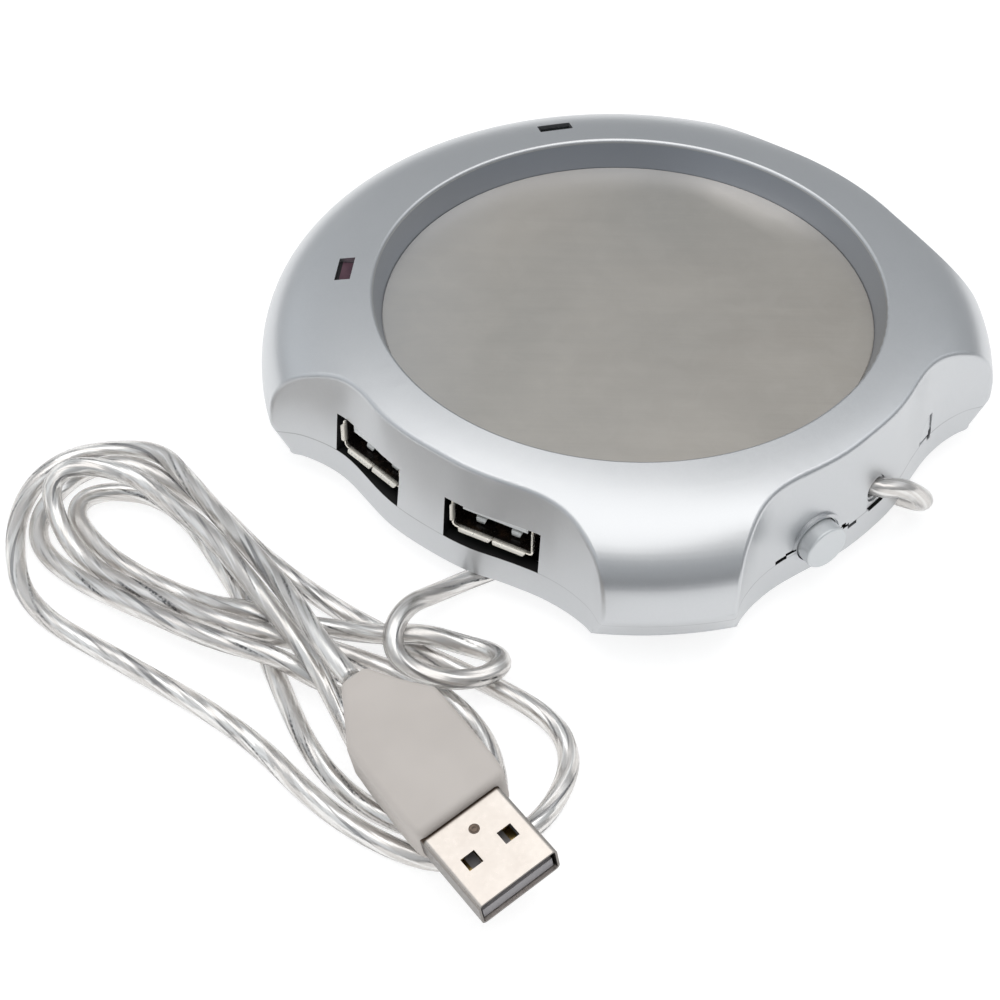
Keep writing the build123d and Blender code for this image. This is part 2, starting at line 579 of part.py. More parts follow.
with BuildPart() as capacitors:
    with BuildSketch(Plane.XY.offset(PCB_TOP)):
        with Locations((14.0, 10.0), (20.0, 4.0), (-2.0, 22.0), (-18.0, 20.0), (-20.0, -20.0)):
            Circle(2.5)
    extrude(amount=5.2)
    fillet(capacitors.edges().filter_by(GeomType.CIRCLE).group_by(Axis.Z)[-1], 0.4)
capacitors.part.label = "capacitors"
export_step(capacitors.part, "parts/capacitors.step")

LED_TOP = PCB_TOP + 1.7
WINDOW_SET = 0.45           # how far a window sits below the dome's skin
for name, (r, az, radial, tangential) in WINDOWS.items():
    with BuildPart() as led:
        with BuildSketch(Plane.XY.offset(PCB_TOP)):
            with Locations(Location((*ring_point(r, az), 0), (0, 0, az))):
                Rectangle(2.0, 4.4)
        extrude(amount=1.7)
    led.part.label = name + "_indicator_led"
    export_step(led.part, "parts/" + name + "_indicator_led.step")
    with BuildPart() as window:
        with BuildSketch(Plane.XY.offset(LED_TOP + 0.1)):
            with Locations(Location((*ring_point(r, az), 0), (0, 0, az))):
                Rectangle(radial - 0.16, tangential - 0.16)
        extrude(amount=21.35 - (r - 43.85) * 0.35 - LED_TOP - 0.1)
    window.part.label = name + "_indicator_window"
    export_step(window.part, "parts/" + name + "_indicator_window.step")

# --- USB sockets --------------------------------------------------------------------------
SHELL_MID = SHELL_FLOOR + SHELL_IN_H / 2
for n, (centre, facing, opening_az) in enumerate(PORTS, start=1):
    c, s = math.cos(math.radians(facing)), math.sin(math.radians(facing))
    mouth = Plane(origin=(centre[0], centre[1], SHELL_MID), x_dir=(-s, c, 0), z_dir=(c, s, 0))
    with BuildPart() as shell:
        with BuildSketch(mouth.offset(-SHELL_DEPTH)):
            RectangleRounded(SHELL_IN_W + 2 * SHELL_T, SHELL_IN_H + 2 * SHELL_T, 0.75)
        extrude(amount=SHELL_DEPTH)
        with BuildSketch(mouth.offset(-SHELL_DEPTH + SHELL_T)):
            RectangleRounded(SHELL_IN_W, SHELL_IN_H, 0.45)
        extrude(amount=SHELL_DEPTH, mode=Mode.SUBTRACT)
        # slots that free the spring fingers of the floor and the roof
        for v in (-SHELL_IN_H / 2 - 0.5, SHELL_IN_H / 2 + 0.5):
            with BuildSketch(mouth.offset(-9.5)):
                with Locations((-4.35, v), (-1.85, v), (1.85, v), (4.35, v)):
                    Rectangle(0.3, 1.4)
            extrude(amount=6.0, mode=Mode.SUBTRACT)
        # solder tabs that stand on the board
        with BuildSketch(mouth.offset(-7.6)):
            with Locations((-SHELL_IN_W / 2 - SHELL_T / 2, -2.7), (SHELL_IN_W / 2 + SHELL_T / 2, -2.7)):
                Rectangle(SHELL_T, 1.0)
        extrude(amount=1.6)
        # the roof ends behind the cover's skin
        with BuildSketch(mouth.offset(-0.85)):
            with Locations((0, PORT_TOP - SHELL_MID - 0.1 + 2.0)):
                Rectangle(SHELL_IN_W + 2, 4.0)
        extrude(amount=2.0, mode=Mode.SUBTRACT)
    shell.part.label = f"usb_socket_shell_{n}"
    export_step(shell.part, f"parts/usb_socket_shell_{n}.step")

    with BuildPart() as insulator:
        with BuildSketch(mouth.offset(-SHELL_DEPTH + SHELL_T + 0.02)):
            Rectangle(SHELL_IN_W - 0.9, SHELL_IN_H - 0.04)
        extrude(amount=4.2)
        with BuildSketch(mouth.offset(-SHELL_DEPTH + SHELL_T + 4.0)):
            with Locations((0, SHELL_IN_H / 2 - 0.45 - 0.92)):
                Rectangle(10.4, 1.84)
        extrude(amount=SHELL_DEPTH - SHELL_T - 4.0 - 0.9)
    insulator.part.label = f"usb_socket_insulator_{n}"
    export_step(insulator.part, f"parts/usb_socket_insulator_{n}.step")

    with BuildPart() as contacts:
        tongue_low = SHELL_IN_H / 2 - 0.45 - 1.84
        with BuildSketch(mouth.offset(-SHELL_DEPTH + SHELL_T + 4.25)):
            with Locations((-3.5, tongue_low - 0.15), (-1.0, tongue_low - 0.15), (1.0, tongue_low - 0.15), (3.5, tongue_low - 0.15)):
                Rectangle(1.0, 0.3)
        extrude(amount=7.4)
    contacts.part.label = f"usb_socket_contacts_{n}"
    export_step(contacts.part, f"parts/usb_socket_contacts_{n}.step")

# --- power switch and button -----------------------------------------------------------------
SWITCH_OUT = 40.5           # outer end of the switch's body
SWITCH_LEN = 9.0
with BuildPart() as switch_body:
    with BuildSketch(radial_plane(BUTTON_AZ, SWITCH_OUT - SWITCH_LEN)):
        with Locations((0, FLOOR_Z + 3.2)):
            Rectangle(7.8, 6.4)
    extrude(amount=SWITCH_LEN)
    with BuildSketch(radial_plane(BUTTON_AZ, SWITCH_OUT - 7.6, BUTTON_Z)):
        Circle(PLUNGER_R + 0.05)
    extrude(amount=8, mode=Mode.SUBTRACT)
switch_body.part.label = "power_switch_body"
export_step(switch_body.part, "parts/power_switch_body.step")

PLUNGER_END = SWITCH_OUT - 3.0
with BuildPart() as plunger:
    with BuildSketch(radial_plane(BUTTON_AZ, PLUNGER_END, BUTTON_Z)):
        Circle(PLUNGER_R)
    extrude(amount=BUTTON_BACK - PLUNGER_END)
plunger.part.label = "switch_plunger"
export_step(plunger.part, "parts/switch_plunger.step")

SPRING_LEN = PLUNGER_END - (SWITCH_OUT - 7.6) - 0.5
with BuildPart() as spring:
    with BuildLine():
        coil = Helix(pitch=0.8, height=SPRING_LEN, radius=1.0,
                     center=(*ring_point(SWITCH_OUT - 7.6 + 0.25, BUTTON_AZ), BUTTON_Z),
                     direction=(math.cos(math.radians(BUTTON_AZ)), math.sin(math.radians(BUTTON_AZ)), 0))
    with BuildSketch(Plane(origin=coil @ 0, z_dir=coil % 0)):
        Circle(0.2)
    sweep(path=coil, is_frenet=True)
spring.part.label = "switch_spring"
export_step(spring.part, "parts/switch_spring.step")

with BuildPart() as button:
    with BuildSketch(radial_plane(BUTTON_AZ, BUTTON_BACK, BUTTON_Z)):
        Circle(BUTTON_R)
    extrude(amount=BUTTON_FACE - BUTTON_BACK)
    fillet(button.edges().filter_by(GeomType.CIRCLE).sort_by_distance((*ring_point(60, BUTTON_AZ), BUTTON_Z))[0], 0.35)
    with BuildSketch(radial_plane(BUTTON_AZ, BUTTON_BACK, BUTTON_Z)):
        Rectangle(10.0, 5.0)
    extrude(amount=1.0)
button.part.label = "power_button"
export_step(button.part, "parts/power_button.step")

# --- DC jack ----------------------------------------------------------------------------------
with BuildPart() as jack:
    with BuildSketch(Plane((0, -34.6, 0), x_dir=(1, 0, 0), z_dir=(0, -1, 0))):
        with Locations((14.3, 8.95)):
            Rectangle(7.0, 6.4)
    extrude(amount=8.0)
    with BuildSketch(Plane((0, -42.6, 0), x_dir=(1, 0, 0), z_dir=(0, -1, 0))):
        with BuildLine():
            Polyline((12.55, 7.7), (12.55, 8.4), (15.3, 11.5), (15.9, 11.5), (15.9, 7.7), close=True)
        make_face()
    extrude(amount=1.9)
    with BuildSketch(Plane((0, -36.0, 0), x_dir=(1, 0, 0), z_dir=(0, -1, 0))):
        with Locations((14.5, 8.95)):
            Circle(JACK_BORE_R)
    extrude(amount=8.6, mode=Mode.SUBTRACT)
jack.part.label = "dc_jack_body"
export_step(jack.part, "parts/dc_jack_body.step")

# --- screws of the case, and the feet --------------------------------------------------------------
with BuildPart() as case_screws:
    with BuildSketch(Plane.XY.offset(BASE_Z + 0.3)):
        for az in CASE_POSTS:
            with Locations(ring_point(CASE_POST_R, az)):
                Circle(2.4)
    extrude(amount=1.7)
    with BuildSketch(Plane.XY.offset(BASE_Z + 2.0)):
        for az in CASE_POSTS:
            with Locations(ring_point(CASE_POST_R, az)):
                Circle(1.2)
    extrude(amount=9.6)
    with BuildSketch(Plane.XY.offset(BASE_Z)):
        for az in CASE_POSTS:
            with Locations(Location((*ring_point(CASE_POST_R, az), 0), (0, 0, az + 15))):
                Rectangle(2.8, 0.6)
                Rectangle(0.6, 2.8)
    extrude(amount=1.1, mode=Mode.SUBTRACT)
case_screws.part.label = "case_screws"
export_step(case_screws.part, "parts/case_screws.step")

with BuildPart() as feet:
    with BuildSketch(Plane.XY):
        for az in CASE_POSTS:
            with Locations(ring_point(CASE_POST_R - 0.4, az)):
                Circle(3.1)
    extrude(amount=FOOT_H)
    fillet(feet.edges().filter_by(GeomType.CIRCLE).group_by(Axis.Z)[0], 0.6)
feet.part.label = "rubber_feet"
export_step(feet.part, "parts/rubber_feet.step")

for piece in (top_cover, base_cover):
    print(piece.part.label, round(piece.part.volume, 1), "valid", piece.part.is_valid, "solids", len(piece.part.solids()))

# --- cord grip and the wires behind it -------------------------------------------------------------
with BuildPart() as cord_grip:
    with BuildSketch(radial_plane(CORD_EXIT_AZ, GRIP_BACK, CORD_EXIT_Z)):
        Circle(2.6)
    extrude(amount=GRIP_FRONT - GRIP_BACK)
    fillet(cord_grip.edges().filter_by(GeomType.CIRCLE), 0.3)
cord_grip.part.label = "cord_grip"
export_step(cord_grip.part, "parts/cord_grip.step")

with BuildPart() as cord_wires:
    for v in (-1.2, -0.4, 0.4, 1.2):
        c, s = math.cos(math.radians(CORD_EXIT_AZ)), math.sin(math.radians(CORD_EXIT_AZ))
        start = Vector((GRIP_BACK - 0.15) * c - v * s, (GRIP_BACK - 0.15) * s + v * c, CORD_EXIT_Z)
        end = Vector(36.2 * c - v * s, 36.2 * s + v * c, BOARD_TOP + 0.55)
        with BuildSketch(Plane(origin=start, z_dir=end - start)):
            Circle(0.33)
        extrude(amount=(end - start).length)
cord_wires.part.label = "cord_wires"
export_step(cord_wires.part, "parts/cord_wires.step")

# --- the cord: straight runs joined by tangent arcs ---------------------------------------------------
corner_radii = []
for before, at, after in zip(CORD_POINTS, CORD_POINTS[1:], CORD_POINTS[2:]):
    run_in, run_out = Vector(*at) - Vector(*before), Vector(*after) - Vector(*at)
    half_turn = math.radians(run_in.get_angle(run_out)) / 2
    corner_radii.append(0.45 * min(run_in.length, run_out.length) / math.tan(half_turn))
with BuildPart() as usb_cord:
    with BuildLine() as cord_path:
        FilletPolyline(*CORD_POINTS, radius=corner_radii)
    cord_line = cord_path.wires()[0]
    with BuildSketch(Plane(origin=cord_line @ 0, z_dir=cord_line % 0)):
        Circle(CORD_D / 2)
    sweep(path=cord_line)
usb_cord.part.label = "usb_cord"
export_step(usb_cord.part, "parts/usb_cord.step")
print("cord radii", [round(r, 1) for r in corner_radii])
print("cord length", round(cord_line.length, 1), "volume", round(usb_cord.part.volume, 1),
      "section x length", round(math.pi * CORD_D ** 2 / 4 * cord_line.length, 1))

# --- the plug ------------------------------------------------------------------------------------------
PLUG = Plane(origin=PLUG_ORIGIN, x_dir=PLUG_SIDE, z_dir=PLUG_NOSE)   # local y is the plug's upper side
with BuildPart() as overmold:
    with BuildSketch(Plane(origin=PLUG.from_local_coords(Vector(0, OVERMOLD_LOW, 0)), x_dir=PLUG.x_dir, z_dir=PLUG.y_dir)):
        with BuildLine():
            Polyline(*[(x, -z) for x, z in OVERMOLD_OUTLINE], close=True)
        make_face()
        fillet(vertices(), 1.3)
    extrude(amount=OVERMOLD_HIGH - OVERMOLD_LOW)
    rims = overmold.faces().sort_by(lambda f: PLUG.to_local_coords(f.center()).Y)
    fillet(rims[0].edges() + rims[-1].edges(), 1.0)
    with BuildSketch(PLUG.offset(-6.0)):
        with Locations((0, SHELL_HIGH / 2)):
            RectangleRounded(PLUG_W, SHELL_HIGH, 0.7)
    extrude(amount=8.0, mode=Mode.SUBTRACT)
overmold.part.label = "plug_overmold"
export_step(overmold.part, "parts/plug_overmold.step")

with BuildPart() as plug_shell:
    with BuildSketch(PLUG.offset(-5.98)):
        with Locations((0, SHELL_HIGH / 2)):
            RectangleRounded(PLUG_W, SHELL_HIGH, 0.7)
    extrude(amount=5.98 + PLUG_BARE)
    with BuildSketch(PLUG.offset(-5.6)):
        with Locations((0, SHELL_HIGH / 2)):
            RectangleRounded(PLUG_W - 0.6, SHELL_HIGH - 0.6, 0.4)
    extrude(amount=6.0 + PLUG_BARE, mode=Mode.SUBTRACT)
    top_side = Plane(origin=PLUG.from_local_coords(Vector(0, SHELL_HIGH + 0.5, 0)), x_dir=PLUG.x_dir, z_dir=-PLUG.y_dir)
    with BuildSketch(top_side):
        with Locations((-2.8, 6.3), (2.8, 6.3)):
            Rectangle(2.1, 2.0)
    extrude(amount=1.0, mode=Mode.SUBTRACT)
    low_side = Plane(origin=PLUG.from_local_coords(Vector(0, -0.5, 0)), x_dir=PLUG.x_dir, z_dir=-PLUG.y_dir)
    with BuildSketch(low_side):
        with Locations((-2.8, 6.3), (2.8, 6.3)):
            Rectangle(2.1, 2.0)
    extrude(amount=-1.0, mode=Mode.SUBTRACT)
plug_shell.part.label = "plug_shell"
export_step(plug_shell.part, "parts/plug_shell.step")

with BuildPart() as plug_insulator:
    with BuildSketch(PLUG.offset(-5.58)):
        with Locations((0, 0.45 + 0.885)):
            Rectangle(PLUG_W - 1.3, 1.77)
    extrude(amount=5.58 + PLUG_BARE - 0.5)
plug_insulator.part.label = "plug_insulator"
export_step(plug_insulator.part, "parts/plug_insulator.step")

with BuildPart() as plug_contacts:
    with BuildSketch(PLUG.offset(2.0)):
        with Locations((-3.5, 2.32), (-1.0, 2.32), (1.0, 2.32), (3.5, 2.32)):
            Rectangle(1.0, 0.2)
    extrude(amount=8.6)
plug_contacts.part.label = "plug_contacts"
export_step(plug_contacts.part, "parts/plug_contacts.step")

for piece in (usb_cord, overmold, plug_shell):
    print(piece.part.label, round(piece.part.volume, 1), "valid", piece.part.is_valid, "solids", len(piece.part.solids()))
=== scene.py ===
import math

import bmesh
import bpy
from mathutils import Matrix, Vector


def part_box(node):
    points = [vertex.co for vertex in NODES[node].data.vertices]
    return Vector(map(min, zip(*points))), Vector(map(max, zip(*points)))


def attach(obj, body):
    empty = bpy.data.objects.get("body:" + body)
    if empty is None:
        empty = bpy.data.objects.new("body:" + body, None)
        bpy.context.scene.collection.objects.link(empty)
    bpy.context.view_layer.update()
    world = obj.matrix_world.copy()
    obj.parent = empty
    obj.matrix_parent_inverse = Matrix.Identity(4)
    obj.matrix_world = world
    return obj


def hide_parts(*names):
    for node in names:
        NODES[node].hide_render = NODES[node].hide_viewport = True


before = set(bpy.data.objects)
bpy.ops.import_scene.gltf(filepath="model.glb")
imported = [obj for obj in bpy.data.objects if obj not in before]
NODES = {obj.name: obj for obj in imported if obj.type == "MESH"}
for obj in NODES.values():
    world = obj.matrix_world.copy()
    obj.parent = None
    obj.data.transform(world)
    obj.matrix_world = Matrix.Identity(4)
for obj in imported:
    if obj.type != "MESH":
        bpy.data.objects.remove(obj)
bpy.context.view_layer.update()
HOUSING = "housing"


# ---------------------------------------------------------------- camera
cam_data = bpy.data.cameras.new("camera")
cam_data.lens = 69.876
cam_data.sensor_width = 36.0
cam_data.sensor_fit = "HORIZONTAL"
cam_data.clip_start = 0.01
cam_data.clip_end = 20.0
cam = bpy.data.objects.new("camera", cam_data)
bpy.context.scene.collection.objects.link(cam)
right = Vector((0.62980, -0.77674, 0.00552))
up = Vector((0.54076, 0.44354, 0.71473))
fwd = Vector((0.55761, 0.44715, -0.69937))
m = Matrix.Identity(4)
for row in range(3):
    m[row][0], m[row][1], m[row][2] = right[row], up[row], -fwd[row]
    m[row][3] = (-0.19514, -0.13163, 0.20629)[row]
cam.matrix_world = m
bpy.context.scene.camera = cam


# ---------------------------------------------------------------- node helpers
class Shader:
    """A small wrapper that keeps material building short."""

    def __init__(self, name):
        self.mat = bpy.data.materials.new(name)
        self.mat.use_nodes = True
        self.nt = self.mat.node_tree
        self.nt.nodes.clear()
        self.out = self.nt.nodes.new("ShaderNodeOutputMaterial")
        self.coord = self.nt.nodes.new("ShaderNodeTexCoord").outputs["Object"]

    def node(self, kind, **props):
        n = self.nt.nodes.new(kind)
        for k, v in props.items():
            setattr(n, k, v)
        return n

    def link(self, a, b):
        self.nt.links.new(a, b)

    def put(self, value, socket):
        if isinstance(value, bpy.types.NodeSocket):
            self.link(value, socket)
        else:
            socket.default_value = value

    def math(self, op, a, b=0.0, c=None, clamp=False):
        n = self.node("ShaderNodeMath", operation=op, use_clamp=clamp)
        self.put(a, n.inputs[0])
        self.put(b, n.inputs[1])
        if c is not None:
            self.put(c, n.inputs[2])
        return n.outputs[0]

    def scaled(self, scale, rot=(0, 0, 0), src=None):
        n = self.node("ShaderNodeMapping")
        n.inputs["Scale"].default_value = scale
        n.inputs["Rotation"].default_value = rot
        self.link(src or self.coord, n.inputs["Vector"])
        return n.outputs["Vector"]

    def turned(self, scale, angle):
        """Object coordinates turned about Z and then stretched."""
        first = self.node("ShaderNodeMapping")
        first.inputs["Rotation"].default_value = (0, 0, angle)
        self.link(self.coord, first.inputs["Vector"])
        return self.scaled(scale, src=first.outputs["Vector"])

    def noise(self, scale, detail=2.0, rough=0.5, vec=None, distortion=0.0):
        n = self.node("ShaderNodeTexNoise")
        n.inputs["Scale"].default_value = scale
        n.inputs["Detail"].default_value = detail
        n.inputs["Roughness"].default_value = rough
        n.inputs["Distortion"].default_value = distortion
        self.link(vec or self.coord, n.inputs["Vector"])
        return n.outputs["Fac"]

    def ramp(self, fac, stops):
        n = self.node("ShaderNodeValToRGB")
        e = n.color_ramp.elements
        while len(e) < len(stops):
            e.new(0.5)
        for i, (pos, col) in enumerate(stops):
            e[i].position = pos
            e[i].color = (*col, 1) if len(col) == 3 else col
        self.link(fac, n.inputs["Fac"])
        return n.outputs["Color"]

    def span(self, fac, lo, hi, a=0.0, b=1.0):
        n = self.node("ShaderNodeMapRange", clamp=True)
        self.link(fac, n.inputs["Value"])
        for k, v in (("From Min", a), ("From Max", b), ("To Min", lo), ("To Max", hi)):
            n.inputs[k].default_value = v
        return n.outputs["Result"]

    def mix(self, fac, a, b):
        n = self.node("ShaderNodeMix", data_type="RGBA")
        self.put(fac, n.inputs["Factor"])
        self.put(a if isinstance(a, bpy.types.NodeSocket) else (*a, 1), n.inputs["A"])
        self.put(b if isinstance(b, bpy.types.NodeSocket) else (*b, 1), n.inputs["B"])
        return n.outputs["Result"]

    def bump(self, height, strength, distance, normal=None):
        n = self.node("ShaderNodeBump")
        n.inputs["Strength"].default_value = strength
        n.inputs["Distance"].default_value = distance
        self.link(height, n.inputs["Height"])
        if normal is not None:
            self.link(normal, n.inputs["Normal"])
        return n.outputs["Normal"]

    def surface(self, color, rough, metallic=0.0, normal=None, **extra):
        n = self.node("ShaderNodeBsdfPrincipled")
        self.put(color if isinstance(color, bpy.types.NodeSocket) else (*color, 1), n.inputs["Base Color"])
        self.put(rough, n.inputs["Roughness"])
        self.put(metallic, n.inputs["Metallic"])
        for k, v in extra.items():
            n.inputs[k.replace("_", " ")].default_value = v
        if normal is not None:
            self.link(normal, n.inputs["Normal"])
        self.link(n.outputs[0], self.out.inputs["Surface"])
        return self.mat


# sockets and other openings of the housing: centre, direction the mouth faces
PORTS = [((-0.04542, -0.01019), -169.5, -167.3), ((-0.04485, 0.01288), 172.0, 163.3),
         ((0.04755, 0.00330), -4.5, 3.9), ((0.04336, -0.01978), -17.5, -24.9)]
SHELL_MID = 0.01241
RIM_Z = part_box("top_cover")[1][2]
GAPS = [(-108.1, -0.0067, 0.0079, 0.0022, 0.0007), (-108.1, -0.00485, 0.0083, 0.0019, 0.0005),
        (-108.1, 0.0048, 0.00825, 0.0015, 0.0005), (-108.1, 0.0056, 0.00775, 0.0013, 0.0006),
        (-93.0, 0.0001, 0.00745, 0.0036, 0.0005)]


def housing_material():
    """Silver lacquer outside; painted shade, near-black, on the faces inside the openings, inside the shell and in the
    joint's gaps; a fine line at the joint.
    """
    s = Shader("silver_lacquer")
    sep = s.node("ShaderNodeSeparateXYZ")
    s.link(s.coord, sep.inputs[0])
    x, y, z = sep.outputs
    nrm = s.node("ShaderNodeSeparateXYZ")
    s.link(s.node("ShaderNodeNewGeometry").outputs["True Normal"], nrm.inputs[0])
    nx, ny, nz = nrm.outputs
    # painted shade: the faces inside each socket's opening are painted near-black
    inside = None
    for (cx, cy), facing, opening in PORTS:
        c, t = math.cos(math.radians(facing)), math.sin(math.radians(facing))
        co, to = math.cos(math.radians(opening)), math.sin(math.radians(opening))
        depth = s.math("SUBTRACT", s.math("MULTIPLY_ADD", x, c, s.math("MULTIPLY", y, t)), cx * c + cy * t)
        side = s.math("ABSOLUTE", s.math("MULTIPLY_ADD", x, -to, s.math("MULTIPLY", y, co)))
        faces = s.math("ABSOLUTE", s.math("MULTIPLY_ADD", nx, co, s.math("MULTIPLY", ny, to)))
        box = s.math("MULTIPLY", s.math("LESS_THAN", side, 0.0079), s.math("GREATER_THAN", depth, -0.02))
        box = s.math("MULTIPLY", box, s.math("LESS_THAN", s.math("ABSOLUTE", s.math("SUBTRACT", z, 0.01105)), 0.00366))
        cut = s.math("MAXIMUM", s.math("LESS_THAN", depth, -0.0006),
                     s.math("MULTIPLY", s.math("LESS_THAN", depth, 0.004), s.math("LESS_THAN", faces, 0.6)))
        box = s.math("MULTIPLY", box, cut)
        inside = box if inside is None else s.math("MAXIMUM", inside, box)
    r2 = s.math("MULTIPLY_ADD", x, x, s.math("MULTIPLY", y, y))
    rad = s.math("SQRT", r2)
    # painted shade: the faces inside the shell, under the plate, are painted near-black too
    deep = s.math("MULTIPLY", s.math("LESS_THAN", r2, 0.0437 ** 2), s.math("LESS_THAN", z, 0.0166))
    deep = s.math("MULTIPLY", deep, s.math("GREATER_THAN", z, 0.0045))
    inside = s.math("MAXIMUM", inside, deep)
    # crooked gaps of the joint beside the button, and the slit under the cord, whose faces are painted near-black as
    # painted shade: (azimuth, t, z, length, height)
    for az, t0, z0, long, tall in GAPS:
        c, t = math.cos(math.radians(az)), math.sin(math.radians(az))
        along = s.math("SUBTRACT", s.math("MULTIPLY_ADD", x, -t, s.math("MULTIPLY", y, c)), t0)
        out = s.math("MULTIPLY_ADD", x, c, s.math("MULTIPLY", y, t))
        faces = s.math("ABSOLUTE", s.math("MULTIPLY_ADD", nx, c, s.math("MULTIPLY", ny, t)))
        gap = s.math("MULTIPLY", s.math("LESS_THAN", s.math("ABSOLUTE", along), long / 2 + 0.00004),
                     s.math("LESS_THAN", s.math("ABSOLUTE", s.math("SUBTRACT", z, z0)), tall / 2 + 0.00004))
        gap = s.math("MULTIPLY", gap, s.math("MULTIPLY", s.math("LESS_THAN", faces, 0.7), s.math("GREATER_THAN", out, 0.040)))
        inside = s.math("MAXIMUM", inside, gap)
    seam = s.span(s.math("ABSOLUTE", s.math("SUBTRACT", z, 0.0076)), 1.0, 0.0, 0.00003, 0.00012)
    worn = s.span(s.noise(70.0, 2.0, 0.5), 0.22, 0.62, 0.40, 0.60)
    seam = s.math("MULTIPLY", s.math("MULTIPLY", seam, s.math("LESS_THAN", s.math("ABSOLUTE", nz), 0.6)), worn)
    flake = s.noise(2600.0, 2.0, 0.6)
    cloud = s.noise(38.0, 3.0, 0.55)
    peel = s.noise(300.0, 2.0, 0.5)
    tone = s.mix(s.span(cloud, 0.0, 1.0, 0.3, 0.7), (0.590, 0.600, 0.612), (0.620, 0.628, 0.638))
    tone = s.mix(s.math("MULTIPLY", s.span(flake, 0.0, 1.0, 0.35, 0.75), 0.15), tone, (0.70, 0.71, 0.72))
    tone = s.mix(seam, tone, (0.12, 0.12, 0.125))
    # painted shade: the well's inner wall below the crest is painted darker and bluer than the lacquer
    well = s.math("MULTIPLY", s.math("LESS_THAN", rad, 0.03905), s.math("LESS_THAN", z, RIM_Z - 0.00056))
    tone = s.mix(well, tone, (0.430, 0.455, 0.500))
    # painted shade: near-black, with no metal, wherever the inside mask is set
    color = s.mix(inside, tone, (0.004, 0.004, 0.004))
    metal = s.math("SUBTRACT", 0.86, s.math("MULTIPLY", inside, 0.86), clamp=True)
    rough = s.math("MULTIPLY_ADD", inside, 0.3, s.span(flake, 0.29, 0.35, 0.3, 0.7))
    # the well's crest is a true round, so its normals come from the round itself
    lean = s.math("DIVIDE", s.math("SUBTRACT", rad, 0.039591), rad)
    round_ = s.node("ShaderNodeCombineXYZ")
    s.link(s.math("MULTIPLY", x, lean), round_.inputs[0])
    s.link(s.math("MULTIPLY", y, lean), round_.inputs[1])
    s.link(s.math("SUBTRACT", z, RIM_Z - 0.000585), round_.inputs[2])
    unit = s.node("ShaderNodeVectorMath", operation="NORMALIZE")
    s.link(round_.outputs[0], unit.inputs[0])
    crest = s.math("MULTIPLY", s.math("LESS_THAN", rad, 0.03950), s.math("GREATER_THAN", z, RIM_Z - 0.00056))
    crest = s.math("MULTIPLY", crest, s.math("GREATER_THAN", rad, 0.03860))
    pick = s.node("ShaderNodeMix", data_type="VECTOR")
    s.link(crest, pick.inputs["Factor"])
    s.link(s.node("ShaderNodeNewGeometry").outputs["Normal"], pick.inputs[4])
    s.link(unit.outputs["Vector"], pick.inputs[5])
    n = s.bump(peel, 0.03, 0.0002, pick.outputs[1])
    n = s.bump(flake, 0.03, 0.00003, n)
    return s.surface(color, rough, metal, n, Coat_Weight=0.15, Coat_Roughness=0.22)


def painted_small(name, tone=(0.60, 0.61, 0.62), rough=0.29, metal=0.86):
    s = Shader(name)
    flake = s.noise(2600.0, 2.0, 0.6)
    color = s.mix(s.span(flake, 0.0, 0.25, 0.35, 0.75), tone, tuple(min(1.0, c * 1.08) for c in tone))
    n = s.bump(flake, 0.02, 0.00001)
    return s.surface(color, s.span(flake, rough, rough + 0.06, 0.3, 0.7), metal, n, Coat_Weight=0.15, Coat_Roughness=0.2)


